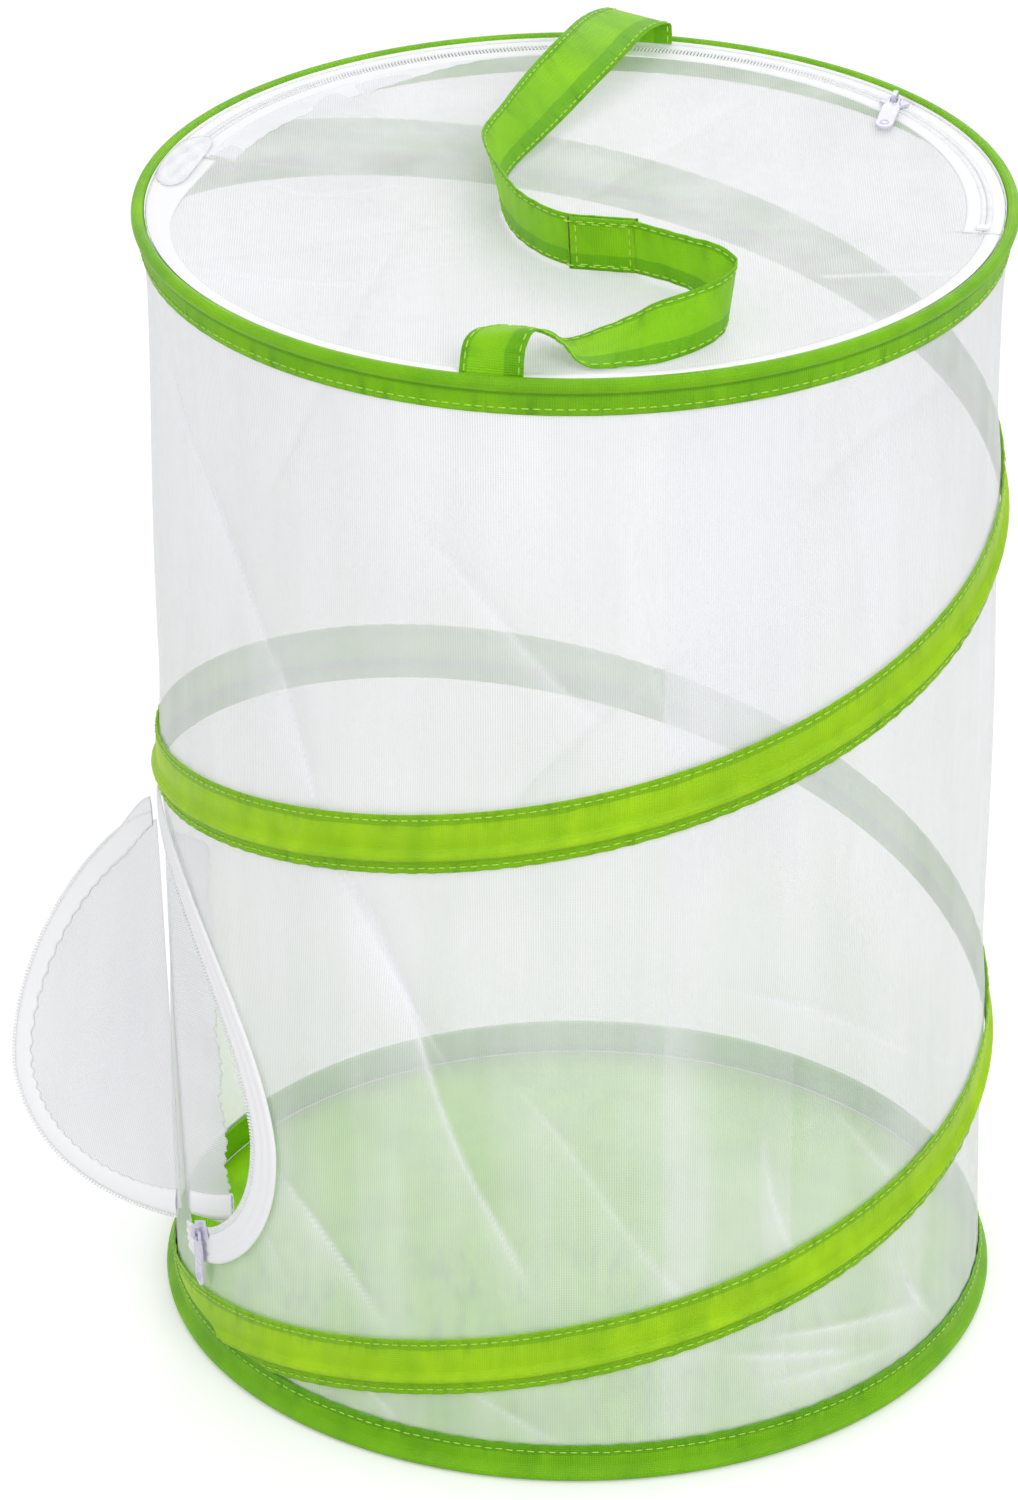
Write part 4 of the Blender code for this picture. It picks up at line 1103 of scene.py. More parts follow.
def spiral_piece():
    """The spiral's ribbon, tucked under the hoops' casings at both ends, with its stitches."""
    turns = np.linspace(0.0, SPIRAL_TURN, 1081)
    half = SPIRAL_BAND / 2
    top = np.minimum(half, HEIGHT - HOOP_BAND - SPIRAL_CLEAR - spiral_middle(turns))
    foot = np.maximum(-half, HOOP_BAND + SPIRAL_CLEAR - spiral_middle(turns))
    seen = top - foot > SPIRAL_LEAST
    turns, top, foot = turns[seen], top[seen], foot[seen]
    rise = foot[None, :] + (top - foot)[None, :] * np.linspace(0.0, 1.0, 31)[:, None]
    points = spiral_points(turns[None, :], rise)
    distance = np.radians(turns) * RIBBON_RADIUS
    piece = surface("spiral_band", points, (distance[None, :], rise + half), ribbon("spiral_ribbon"))
    thicken(piece, sizes().cloth)
    seat(piece, "base", "green_ribbon", ["spiral_casing"], collapses=True)
    for name, side in (("spiral_upper_stitches", 1.0), ("spiral_lower_stitches", -1.0)):
        line = side * (half - SPIRAL_STITCH_INSET)
        run = (foot < line - SPIRAL_STITCH_ROOM) & (top > line + SPIRAL_STITCH_ROOM)
        path = spiral_points(turns[run], np.full(run.sum(), line))
        normals = outward(path)
        thread = stitches(name, path + normals * STITCH_LIFT, normals)
        seat(thread, "base", "green_ribbon", collapses=True)


def spiral_wire_piece():
    """The spring wire inside the spiral's ribbon."""
    turns = np.linspace(0.0, SPIRAL_TURN, 481)
    height = spiral_middle(turns) - SPIRAL_WIRE_DROP
    inside = (height > HOOP_BAND + SPIRAL_WIRE_CLEAR) & (height < HEIGHT - HOOP_BAND - SPIRAL_WIRE_CLEAR)
    turns, height = turns[inside], height[inside]
    ring = np.radians(np.arange(0, 360, 45))[:, None]
    radius = WIRE_RADIUS + SPIRAL_WIRE_THICK * np.cos(ring)
    points = polar(radius, (180.0 - turns)[None, :], height[None, :] + SPIRAL_WIRE_THICK * np.sin(ring))
    points = np.concatenate([points, points[:1]])
    cloth = (np.radians(turns)[None, :] * WIRE_RADIUS, np.linspace(0, 0.007, 9)[:, None])
    wire = surface("spiral_spring", points, cloth, drawn_wire())
    seat(wire, "base", "spring_steel", ["spiral_wire"], collapses=True)


def hinge_angle(height):
    """Angle of the door's slanting hinge seam at a height."""
    share = (height - DOOR_LOW) / (DOOR_TOP - DOOR_LOW)
    return DOOR_HINGE_FOOT_ANGLE + (DOOR_HINGE_TOP_ANGLE - DOOR_HINGE_FOOT_ANGLE) * share


def zip_angle(height):
    """Angle of the door's curved zip side at a height."""
    upper = clamp((height - DOOR_TIP) / (DOOR_TOP - DOOR_TIP))
    lower = clamp((DOOR_TIP - height) / (DOOR_TIP - DOOR_LOW))
    above = (1.0 - upper ** DOOR_UPPER_POWER) ** (1.0 / DOOR_UPPER_POWER)
    below = (1.0 - lower ** DOOR_LOWER_POWER) ** (1.0 / DOOR_LOWER_POWER)
    share = np.where(height > DOOR_TIP, above, below)
    return DOOR_CROWN_ANGLE + (DOOR_TIP_ANGLE - DOOR_CROWN_ANGLE) * share


def held_out(degrees, height):
    """How firmly the wall net is held out by the hoops, the spiral and the doorway, from 0 to 1."""
    hold = bell(HEIGHT - HOOP_BAND - height, HOLD_BY_HOOP) + bell(height - HOOP_BAND, HOLD_BY_HOOP)
    turn = (180.0 - degrees) % 360.0
    for first in (turn, turn + 360.0):
        away = np.abs(height - spiral_middle(first)) - SPIRAL_BAND / 2
        hold = np.maximum(hold, bell(np.maximum(away, 0.0), HOLD_BY_SPIRAL))
    doorway = bell((degrees % 360.0 - zip_angle(height)) * MM_PER_DEGREE, HOLD_BY_DOOR_MM)
    inside = (height > DOOR_LOW) & (height < DOOR_TOP)
    return clamp(np.maximum(hold, doorway * inside))


def crease_field(degrees, height):
    """How far the wall net is drawn in by its creases and gathers, and how sharply it is folded, with painted light
    along one side of each crease.

    Each crease is worked out in millimetres on the flat net, along its line and off it.
    """
    depth = np.zeros(np.broadcast(degrees, height).shape)
    fold = np.zeros(depth.shape)
    turn = np.radians(degrees)
    for first, top, second, foot, width, deep in CREASES:
        across_x = ((degrees - first + 180.0) % 360.0 - 180.0) * MM_PER_DEGREE
        across_y = (height - top) * 1000.0
        run = np.array([(second - first) * MM_PER_DEGREE, (foot - top) * 1000.0])
        length = np.linalg.norm(run)
        run = run / length
        along = across_x * run[0] + across_y * run[1]
        off = across_x * run[1] - across_y * run[0] - 3.0 * np.sin(along / 31.0 + first)
        end = 1.0 / (1.0 + np.exp(-(along - 6.0) / 7.0)) / (1.0 + np.exp((along - length + 6.0) / 7.0))
        depth += deep * end * np.exp(-np.abs(off / width / 2.2) ** 1.3)
        share = end * deep / 0.0032
        fold += 0.46 * share * bell(off, 1.9)
        # Painted light: the net is more opaque, so brighter, along one side of each crease
        fold += 0.38 * share * np.exp(-np.clip(off, 0.0, None) / (2.6 * width)) * (off > 0)
    broad = np.sin(turn * 5.0 + height * 17.0) + np.sin(turn * 8.0 - height * 23.0)
    depth = (depth + 0.0006 * (2.0 + broad)) * (1.0 - 0.85 * held_out(degrees, height))
    gather = 0.5 + 0.5 * np.sin(turn * 71.0 + 1.3 * np.sin(turn * 9.0))
    hem = np.exp(-np.abs(HEIGHT - HOOP_BAND - height) / 0.02) + np.exp(-np.abs(height - HOOP_BAND) / 0.02)
    return depth + 0.0004 * gather * clamp(hem), fold


def wall_rows():
    """Heights of the wall net's rows, closer together by the doorway's top and foot."""
    below, lower, upper, above = WALL_ROWS
    tuck = HOOP_BAND * WALL_TUCK
    quarter = math.pi / 2
    return np.concatenate([
        np.linspace(tuck, DOOR_FOOT, below)[:-1],
        DOOR_TIP - (DOOR_TIP - DOOR_FOOT) * np.cos(np.linspace(0, quarter, lower)),
        DOOR_TIP + (DOOR_TOP - DOOR_TIP) * np.sin(np.linspace(0, quarter, upper))[1:],
        np.linspace(DOOR_TOP, HEIGHT - tuck, above)[1:]])


def wall_piece():
    """The wall net, open at the doorway, creased as limp net hangs on a spring."""
    rows = wall_rows()
    height = rows[:, None]
    within = (rows >= DOOR_FOOT - 1e-6) & (rows <= DOOR_TOP + 1e-6)
    split = np.where(rows < DOOR_FOOT, WALL_SPLIT_FOOT, WALL_SPLIT_TOP)
    start = np.where(within, zip_angle(rows), split)
    end = np.where(within, hinge_angle(rows), start) + 360.0
    degrees = start[:, None] + (end - start)[:, None] * np.linspace(0.0, 1.0, WALL_COLUMNS)[None, :]
    depth, fold = crease_field(degrees, height)
    points = polar(NET_RADIUS - depth, degrees, height)
    cloth = (np.radians(degrees) * NET_RADIUS, height)
    piece = surface("wall_net", points, cloth, net("wall_net_cloth"))
    mark_folds(piece, fold)
    seat(piece, "base", "white_net", ["wall_mesh"], collapses=True)
    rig.sheet(piece, flat=(2 * math.pi * NET_RADIUS, HEIGHT - 2 * HOOP_BAND * WALL_TUCK), held="stretched",
             rests_on=["top_casing", "bottom_casing"], area=mesh_area(piece))


def wall_strip(name, first, last, inset, nodes):
    """A doubled strip inside the wall, thinner low down."""
    height = np.linspace(HOOP_BAND, HEIGHT - HOOP_BAND, 180)[:, None]
    thinner = 0.8 / (1.0 + np.exp((height - OVERLAP_THIN_BELOW) / 0.008))
    degrees = np.linspace(first, last, 60)[None, :] + 0.12 * np.sin(height * 60.0)
    depth, fold = crease_field(degrees, height)
    points = polar(NET_RADIUS - inset - depth, degrees, height)
    cloth = (np.radians(degrees) * NET_RADIUS * 1.07, height * 1.05)
    piece = surface(name, points, cloth, net("doubled_net_cloth"))
    mark_folds(piece, fold - thinner)
    return seat(piece, "base", "white_net", nodes, collapses=True)


def wall_overlap_pieces():
    """The strip inside the wall where the net's two ends are sewn together, and its sewn line."""
    overlap = wall_strip("wall_overlap", *OVERLAP, ["wall_seam"])
    declare_sheet(overlap, "stretched", ["top_casing", "bottom_casing"])
    wall_strip("wall_sewn_line", *SEWN_LINE, [])


def floor_piece():
    """The green floor cloth, barely wrinkled."""
    radius = np.linspace(0.0005, FLOOR_RADIUS, 60)[:, None]
    degrees = np.linspace(0.0, 360.0, 181)[None, :]
    turn = np.radians(degrees)
    swell = np.sin(turn * 3 + radius * 40) + np.sin(turn * 7 - radius * 90)
    swell = swell + np.sin(radius * 150 + 2 * np.cos(turn))
    height = FLOOR_LIFT + FLOOR_WRINKLE * (3.0 + swell) * clamp((FLOOR_RADIUS - radius) / FLOOR_FLAT_EDGE)
    points = polar(radius, degrees, height)
    piece = surface("floor_cloth_disc", points, (points[..., 0], points[..., 1]), ribbon("floor_cloth"))
    seat(piece, "base", "green_ribbon", ["floor_panel"])
    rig.sheet(piece, flat=(2 * FLOOR_RADIUS, 2 * FLOOR_RADIUS), held="stretched", rests_on=["bottom_casing"],
             area=math.pi * FLOOR_RADIUS ** 2)


# Lid

def lid_fold_marks(points):
    """How brightly the lid's fold lines show at each point."""
    marks = np.zeros(points.shape[:2])
    for line, weight in LID_FOLDS:
        line = smooth(line, 8)
        nearest = np.full(marks.shape, 1.0)
        for start, end in zip(line[:-1], line[1:]):
            run = end - start
            off = points[..., :2] - start
            share = clamp((off @ run) / (run @ run))
            nearest = np.minimum(nearest, np.linalg.norm(off - share[..., None] * run, axis=-1))
        marks = marks + weight * bell(nearest, 0.0018)
    return marks


def lid_fan(name, radius, start, end, hinge):
    """Half of the lid: net from the middle of the fold out to an arc, with shallow creases."""
    rim = polar(radius, np.linspace(start, end, 241), 0.0)
    share = np.linspace(0.002, 1.0, 90)[:, None, None]
    points = hinge + (rim[None] - hinge) * share
    reach = np.hypot(points[..., 0], points[..., 1])
    turn = np.arctan2(points[..., 1], points[..., 0])
    wave = np.sin(turn * 9 + reach * 60) * reach / radius
    fold = np.exp(-np.abs(np.sin(turn * 2.5 + 0.7) * reach / 0.012) ** 1.5)
    sag = 0.0006 + 0.0004 * wave + 0.0008 * fold
    points[..., 2] = LID_HEIGHT - sag * clamp((radius - reach) / LID_EDGE)
    piece = surface(name, points, (points[..., 0], points[..., 1]), net("lid_net_cloth"))
    mark_folds(piece, lid_fold_marks(points))
    return piece


def arc_band(name, inner, outer, start, end, lift, material, swell=None, columns=7):
    """A band of cloth round the lid; inner may change with the angle, and swell gives added heights."""
    degrees = np.linspace(start, end, max(8, int(abs(end - start) * 1.5)))[None, :]
    inside = inner(degrees) if callable(inner) else inner
    radius = inside + (outer - inside) * np.linspace(0.0, 1.0, columns)[:, None]
    height = LID_HEIGHT + lift + (0.0 if swell is None else swell(radius))
    points = polar(radius, degrees, height)
    return surface(name, points, (np.radians(degrees) * outer, radius - inside), material)


def tape_band(name, inner, outer, start, end, lift, body, node, **shape):
    """A band of white tape round the lid, in place of a CAD node."""
    tape = arc_band(name, inner, outer, start, end, lift, white_tape(), **shape)
    thicken(tape, TAPE_THICK)
    return seat(tape, body, "white_tape", [node])


def lip_piece():
    """The white lid cloth where it climbs the inner side of the top hoop's ribbon."""
    climb = np.radians(np.linspace(*LIP_ARC, LIP_ROWS))[:, None]
    degrees = np.linspace(0.0, 360.0, 361)[None, :]
    distance = np.radians(degrees) * HEM_RADIUS
    crinkle = 0.0003 * (ripple(distance) - 0.5) * np.sin((climb - math.radians(LIP_ARC[1])) * 3.0)
    radius = WIRE_RADIUS + (LIP_RADIUS + crinkle) * np.cos(climb)
    height = WIRE_TOP + (LIP_RADIUS + crinkle) * np.sin(climb)
    points = polar(radius, degrees, np.minimum(height, HEIGHT - 0.0001))
    cloth = (distance, np.linspace(0.0, 0.004, LIP_ROWS)[:, None])
    seat(surface("lid_edge_lip", points, cloth, white_tape()), "top_frame", "white_tape")


def lid_zip_row(name, radius, body, node):
    """One row of coil turns of the lid's zip."""
    path = polar(radius, np.linspace(ZIP_FROM, ZIP_TO, 400), LID_HEIGHT)
    up = np.tile([0.0, 0.0, 1.0], (len(path), 1))
    seat(zip_turns(name, path, up, COIL_REACH), body, "white_coil", [node])


def front_hem_inside(degrees):
    """Inner radius of the front hem, which is widest where the zip's tape runs on under it."""
    return HEM_INSIDE - 0.0150 * bell(degrees - 163.0, 21.0)


def allowance_inside(degrees):
    """Inner radius of the net that is turned under along the zip's left part."""
    grow = ease(clamp((degrees - ALLOWANCE_FROM) / 28.0))
    return REAR_NET_RADIUS - 0.0125 * grow + 0.0004 * np.sin(degrees * 1.7)


def laid_down(radius):
    """Heights across the turned-under net, which lies on the sagging lid."""
    return -0.0007 * clamp((ALLOWANCE_OUTSIDE - radius) / LID_EDGE)


def hem_ridge(radius):
    """Heights across the front hem: a low ridge by the hoop, down to the net inside it."""
    ridge = 0.0005 * np.sin(clamp((radius - HEM_INSIDE) / (HEM_RADIUS - HEM_INSIDE)) * math.pi)
    return ridge - 0.0006 * clamp((HEM_INSIDE - radius) / LID_EDGE)


def end_cover():
    """The net that is folded and bunched over the zip's left end."""
    across = np.linspace(-1.0, 1.0, 33)[:, None]
    along = np.linspace(-1.0, 1.0, 41)[None, :]
    degrees = COVER_ANGLE + COVER_HALF_ANGLE * along * np.sqrt(1.0 - across ** 2 / 2.6)
    radius = COVER_RADIUS + COVER_HALF_WIDTH * across * np.sqrt(1.0 - along ** 2 / 2.6)
    lump = 0.6 * np.sin(along * 8.0 + across * 3.0 + 1.2 * np.sin(along * 3.0 + 1.0))
    lump = lump + 0.4 * np.sin(across * 6.0 - along * 5.0 + 0.7)
    crown = (1.0 - along ** 4) * (1.0 - across ** 4)
    points = polar(radius, degrees, LID_HEIGHT + COVER_LIFT + (0.0007 + 0.0008 * lump) * crown)
    cloth = (along * COVER_HALF_LENGTH, across * COVER_HALF_WIDTH)
    piece = surface("zip_end_cover", points, cloth, net("bunched_net_cloth"))
    # Painted light and shade: the net is more opaque on the lumps' tops and less in their hollows
    mark_folds(piece, 0.5 * lump * crown)
    thicken(piece, COVER_THICK)
    seat(piece, "top_frame", "white_tape", ["lid_zip_cover"])
    declare_sheet(piece, "folded", ["lid_hem"])


def lid_pieces():
    """The lid's net halves, hem, zip tapes, coils and the bunched cover at the zip's left end."""
    front = lid_fan("lid_front", *FRONT_NET, LID_FOLD * LID_FOLD_APART)
    seat(front, "top_frame", "white_net", ["lid_front_net"])
    rear = lid_fan("lid_rear", REAR_NET_RADIUS, ZIP_FROM, ZIP_TO, LID_FOLD)
    seat(rear, "lid_flap", "white_net", ["lid_flap_net"])
    lip_piece()
    hem = tape_band("lid_front_hem", front_hem_inside, HEM_RADIUS, HEM_FROM, HEM_TO, 0.0002,
                    "top_frame", "lid_hem", swell=hem_ridge, columns=13)
    tape_band("zip_hoop_tape", HOOP_TAPE_INSIDE, HEM_RADIUS, ZIP_FROM, ZIP_TO, 0.0,
              "top_frame", "lid_ring_tape")
    flap_tape = tape_band("zip_flap_tape", FLAP_TAPE_INSIDE, FLAP_TAPE_OUTSIDE, ZIP_FROM, ZIP_TO, 0.0,
                          "lid_flap", "lid_flap_tape")
    under = arc_band("zip_flap_allowance", allowance_inside, ALLOWANCE_OUTSIDE, ALLOWANCE_FROM,
                     ALLOWANCE_TO, 0.0001, net("bunched_net_cloth"), laid_down)
    seat(under, "lid_flap", "white_net")
    declare_sheet(front, "stretched", ["top_casing"], [hem])
    declare_sheet(rear, "stretched", ["lid_ring_tape"], [flap_tape, under])
    lid_zip_row("zip_hoop_coil", ZIP_RADIUS + COIL_APART, "top_frame", "lid_ring_coil")
    lid_zip_row("zip_flap_coil", ZIP_RADIUS - COIL_APART, "lid_flap", "lid_flap_coil")
    end_cover()


# Zip sliders and pulls

def flat_curve(name, outlines):
    """A flat mesh with rounded edges from closed outlines; the second is a window."""
    curve = bpy.data.curves.new(name, "CURVE")
    curve.dimensions = "2D"
    curve.fill_mode = "BOTH"
    curve.extrude = PULL_THICK / 2 - PULL_ROUND
    curve.bevel_depth = PULL_ROUND
    curve.bevel_resolution = 2
    curve.offset = -PULL_ROUND
    for outline in outlines:
        line = curve.splines.new("POLY")
        line.points.add(len(outline) - 1)
        line.use_cyclic_u = True
        for point, (across, along) in zip(line.points, outline):
            point.co = (across, along, 0.0, 1.0)
    holder = link_new(name, curve)
    bpy.context.view_layer.update()
    mesh = bpy.data.meshes.new_from_object(holder.evaluated_get(bpy.context.evaluated_depsgraph_get()))
    bpy.data.objects.remove(holder, do_unlink=True)
    return mesh


def pull_mesh(name):
    """A moulded pull: a neck with a window for the bail, and a rounded tip."""
    half = list(PULL_NECK)
    for turn in np.linspace(0.0, 1.5, 9):
        half.append((PULL_TIP_FROM + PULL_TIP_RADIUS * math.sin(turn), PULL_TIP_RADIUS * math.cos(turn)))
    outline = [(along, -side) for along, side in half] + [(along, side) for along, side in reversed(half)]
    return flat_curve(name, [outline, PULL_WINDOW])


def dimple_points():
    """The small raised ring round the dimple on a pull's face."""
    degrees = np.linspace(0.0, 360.0, 25)[None, :]
    side = np.linspace(0.0, 2 * math.pi, 9)[:, None]
    reach = DIMPLE_RADIUS + DIMPLE_THICK * np.cos(side)
    return polar(reach, degrees, DIMPLE_THICK * np.sin(side)) + np.array(DIMPLE_CENTRE)


def place_pull(name, node, pivot, turn):
    """Set a pull and its dimple's ring where the CAD has it, on the body named as its node."""
    matrix = Matrix.Translation(pivot) @ turn
    mesh = pull_mesh(name)
    mesh.transform(matrix)
    piece = add_piece(name, mesh, slider_coating())
    mesh.set_sharp_from_angle(angle=math.radians(PULL_SHARP))
    seat(piece, node, "coated_slider", [node])
    points = dimple_points() @ np.array(matrix.to_3x3()).T + np.array(matrix.translation)
    ring = surface(name + "_dimple", points, (np.zeros(points.shape[:2]), 0.0), slider_coating())
    seat(ring, node, "coated_slider")


def lid_slider_pieces():
    """The lid's slider with softened edges, its pull and the zip's end stop."""
    soften_edges(frame["nodes"]["lid_slider"], slider_coating())
    soften_edges(frame["nodes"]["lid_zip_stop"], coil_nylon())
    pivot = Vector(polar(ZIP_RADIUS, SLIDER_ANGLE, LID_HEIGHT + PULL_RISE))
    turn = Matrix.Rotation(math.radians(PULL_HEADING), 4, "Z")
    turn = turn @ Matrix.Rotation(math.radians(PULL_DIP), 4, "Y")
    place_pull("lid_zip_pull", "lid_pull", pivot, turn)


# Door

def door_curve(inset, count=DOOR_COLUMNS):
    """The door's zip side from its top to its foot, moved in by an inset: angles and heights."""
    swing = np.cos(np.linspace(0.0, math.pi, count))
    height = DOOR_TIP + np.where(swing > 0, DOOR_TOP - DOOR_TIP, DOOR_TIP - DOOR_FOOT) * swing
    per_degree = math.radians(1.0) * NET_RADIUS
    line = np.stack([zip_angle(height) * per_degree, height], axis=1)
    along = np.gradient(line, axis=0)
    inward = unit(np.stack([along[:, 1], -along[:, 0]], axis=1))
    moved = line + inward * np.reshape(inset, (-1, 1))
    return moved[:, 0] / per_degree, moved[:, 1]


def seam_angle(height, clear):
    """Angle of a line that keeps clear of the hinge seam, on the door's side of it."""
    return hinge_angle(height) + np.degrees(clear / NET_RADIUS)


def door_hinge():
    """The door's hinge axis: its foot and its direction upwards."""
    radius = NET_RADIUS + DOOR_HINGE_PROUD
    foot = polar(radius, hinge_angle(DOOR_FOOT), DOOR_FOOT)
    return foot, unit(polar(radius, hinge_angle(DOOR_TOP), DOOR_TOP) - foot)


def swing_open(points):
    """Turn points of the closed flap about the hinge to where the door stands open."""
    foot, axis = door_hinge()
    turn = np.array(Matrix.Rotation(math.radians(-DOOR_OPEN), 3, Vector(axis)))
    return (points - foot) @ turn.T + foot


def door_band(name, insets, radius, swell, opened, count=DOOR_COLUMNS):
    """A band of tape along the door's zip side; insets and swell run across it.

    The flap's band is swung open and reaches the hinge seam; the doorway's ends where all of it is clear.
    """
    lines = [door_curve(inset, count) for inset in insets]
    degrees, height = (np.stack(part) for part in zip(*lines))
    lift = np.reshape(swell, (len(insets), -1)) + np.zeros_like(degrees)
    past = degrees > seam_angle(height, SEAM_CLEAR)
    seen = np.any(past, axis=0) if opened else np.all(past, axis=0)
    degrees, height, lift = degrees[:, seen], height[:, seen], lift[:, seen]
    degrees = np.maximum(degrees, seam_angle(height, SEAM_CLEAR))
    points = polar(radius + lift, degrees, height)
    if opened:
        points = swing_open(points)
    width = np.reshape([np.mean(inset) for inset in insets], (-1, 1))
    cloth = (reach_along(points[0])[None, :], width - width.min())
    return surface(name, points, cloth, white_tape())


def door_zip_row(name, inset, reach, radius, node, body, opened):
    """One row of coil turns of the door's zip."""
    degrees, height = door_curve(inset, DOOR_FINE_COLUMNS)
    seen = degrees > seam_angle(height, SEAM_CLEAR)
    path = polar(radius, degrees[seen], height[seen])
    normals = outward(path)
    if opened:
        tips = swing_open(path + normals)
        path = swing_open(path)
        normals = tips - path
    seat(zip_turns(name, path, normals, reach), body, "white_coil", [node], collapses=True)


def doorway_pieces():
    """The white binding and coil round the doorway, and the raw edge behind the hinge seam."""
    step = np.linspace(-1.0, 1.0, DOOR_COLUMNS)
    broad = BINDING_WIDTH + BINDING_SPREAD * (1.0 - step ** 4)
    across = np.linspace(0.0, 1.0, 17)
    insets = [BINDING_EDGE - broad * (1.0 - share) for share in across]
    swell = BINDING_FOLD * np.abs(np.sin(across * math.pi * 3.0))
    binding = door_band("doorway_binding", insets, BINDING_RADIUS, swell, False)
    thicken(binding, TAPE_THICK)
    seat(binding, "base", "white_tape", ["door_wall_tape"], collapses=True)
    door_zip_row("doorway_coil", DOORWAY_COIL_INSET, DOORWAY_COIL_REACH, BINDING_RADIUS,
                 "door_wall_coil", "base", False)
    facing_piece()


def facing_points(height, share, reach):
    """Points of the net turned in behind the hinge seam, at so large a share of its reach."""
    heading = math.radians(FACING_HEADING)
    inward = np.array([math.cos(heading), math.sin(heading), 0.0])
    aside = np.array([-inward[1], inward[0], 0.0])
    height, share, reach = np.broadcast_arrays(height, share, reach)
    edge = polar(FACING_RADIUS, hinge_angle(height), height)
    wave = FACING_WAVE * np.sin(height * 190.0) * share
    return edge + inward * (reach * share)[..., None] + aside * wave[..., None], aside


def facing_piece():
    """Net turned in behind the hinge seam, with a frayed edge and the end of the flap's hem at its foot."""
    step = np.arange(FACING_COLUMNS)
    height = np.linspace(FACING_FROM, FACING_TO, FACING_COLUMNS)[None, :]
    fray = FACING_FRAY * np.abs(np.sin(step * 2.1) * np.sin(step * 0.73))[None, :]
    share = np.linspace(0.0, 1.0, FACING_ROWS)[:, None]
    hang, _ = facing_points(height, share, FACING_REACH - fray)
    lap = polar(FACING_RADIUS, hinge_angle(height) - FACING_LAP_ANGLE, height)
    width = np.concatenate([[-FACING_LAP], np.linspace(0.0, FACING_REACH, FACING_ROWS)])[:, None]
    piece = surface("door_raw_edge", np.concatenate([lap, hang]), (height, width), net("wall_net_cloth"))
    thicken(piece, FACING_THICK)
    seat(piece, "base", "white_net", ["door_facing"], collapses=True)
    declare_sheet(piece, "folded", ["wall_mesh"], [facing_hem()])


def facing_hem():
    """The end of the hem, folded over the foot of the turned-in net and curling up at its tip."""
    share = np.linspace(0.04, 0.98, 24)[None, :]
    across, side = (values[:, None] for values in doubled(6))
    height = FACING_HEM_FOOT + FACING_HEM_WIDTH * across + FACING_HEM_CURL * share ** 2
    middle, aside = facing_points(height, share, FACING_REACH)
    puff = side * (FACING_HEM_FLAT + FACING_HEM_PUFF * np.sin(across * math.pi))
    cloth = (share * FACING_REACH, across * FACING_HEM_WIDTH)
    piece = surface("door_raw_edge_hem", middle + aside * puff[..., None], cloth, white_tape())
    thicken(piece, FACING_THICK)
    return seat(piece, "base", "white_tape", (), collapses=True)


def flap_pieces():
    """The open flap: slack net, its wide hem with a zigzag inner edge, and its coil."""
    degrees, height = door_curve(FLAP_NET_INSET)
    seen = degrees > seam_angle(height, FLAP_NET_CLEAR)
    degrees, height = degrees[seen], height[seen]
    foot, axis = door_hinge()
    seam = foot + axis * ((height - foot[2]) / axis[2])[:, None]
    share = np.linspace(0.0, 1.0, 40)[:, None]
    start = hinge_angle(height)
    spread = start + (degrees - start) * share
    slack = 0.0016 * np.sin(height * 55.0 + 1.0) + 0.0012 * np.sin(height * 120.0 + share * 6)
    breadth = clamp((degrees - start) * MM_PER_DEGREE / 90.0)
    slack = slack * np.sin(clamp(share / 0.85) * math.pi) * breadth ** 2
    points = polar(NET_RADIUS + slack, spread, height)
    pull = clamp(1.0 - share / FLAP_SEAM_SHARE)[..., None]
    first = seam + unit(points[FLAP_SEAM_ROW] - seam) * FLAP_SEAM_GAP
    points = swing_open(points * (1.0 - pull) + first[None] * pull)
    cloth = (np.radians(spread) * NET_RADIUS, height[None, :])
    piece = surface("door_flap", points, cloth, net("flap_net_cloth"))
    seat(piece, "door_flap", "white_net", ["door_flap_net"], collapses=True)
    declare_sheet(piece, "hung", ["wall_mesh"], [flap_hem()])
    door_zip_row("door_flap_zip", FLAP_COIL_INSET, FLAP_COIL_REACH, NET_RADIUS,
                 "door_flap_coil", "door_flap", True)


def flap_hem():
    """The flap's folded hem, narrow by the tip with a zigzag inner edge, its top under the binding."""
    step = np.linspace(-1.0, 1.0, DOOR_FINE_COLUMNS)
    width = FLAP_HEM_WIDTH + FLAP_HEM_SPREAD * step ** 2
    tuck = ease(clamp((-step - FLAP_HEM_TUCK_FROM) / (1.0 - FLAP_HEM_TUCK_FROM)))
    outer = FLAP_HEM_INSET - FLAP_HEM_TUCK * tuck
    zigzag = np.abs((np.arange(DOOR_FINE_COLUMNS) % 6) / 3.0 - 1.0) * (1.0 - step ** 2)
    across, side = doubled(7)
    insets = [outer + (width + FLAP_HEM_ZIGZAG * zigzag) * share for share in across]
    puff = np.sin(across * math.pi)[:, None] * (1.0 - np.minimum(1.0, 3.0 * tuck))[None, :]
    swell = side[:, None] * (FLAP_HEM_FLAT + FLAP_HEM_PUFF * puff)
    hem = door_band("door_flap_edge", insets, NET_RADIUS, swell, True, DOOR_FINE_COLUMNS)
    thicken(hem, FLAP_HEM_THICK)
    return seat(hem, "door_flap", "white_tape", ["door_flap_hem"], collapses=True)


def door_slider_pieces():
    """The door's parked slider and pull. They stay together at their height, beside the folded net."""
    piece = link_new("door_zip_slider", frame["nodes"]["door_slider"].data.copy())
    soften_edges(piece, slider_coating())
    seat(piece, "base", "coated_slider", ["door_slider"])
    side = -Vector(JOINTS["door_pull_flip"]["axis"])
    down = Vector((0.0, 0.0, -1.0))
    turn = Matrix((down, side, down.cross(side))).transposed().to_4x4()
    turn = turn @ Matrix.Rotation(math.radians(DOOR_PULL_DIP), 4, "Y")
    place_pull("door_zip_pull", "door_pull", Vector(JOINTS["door_pull_flip"]["pos_m"]), turn)


# Carry strap

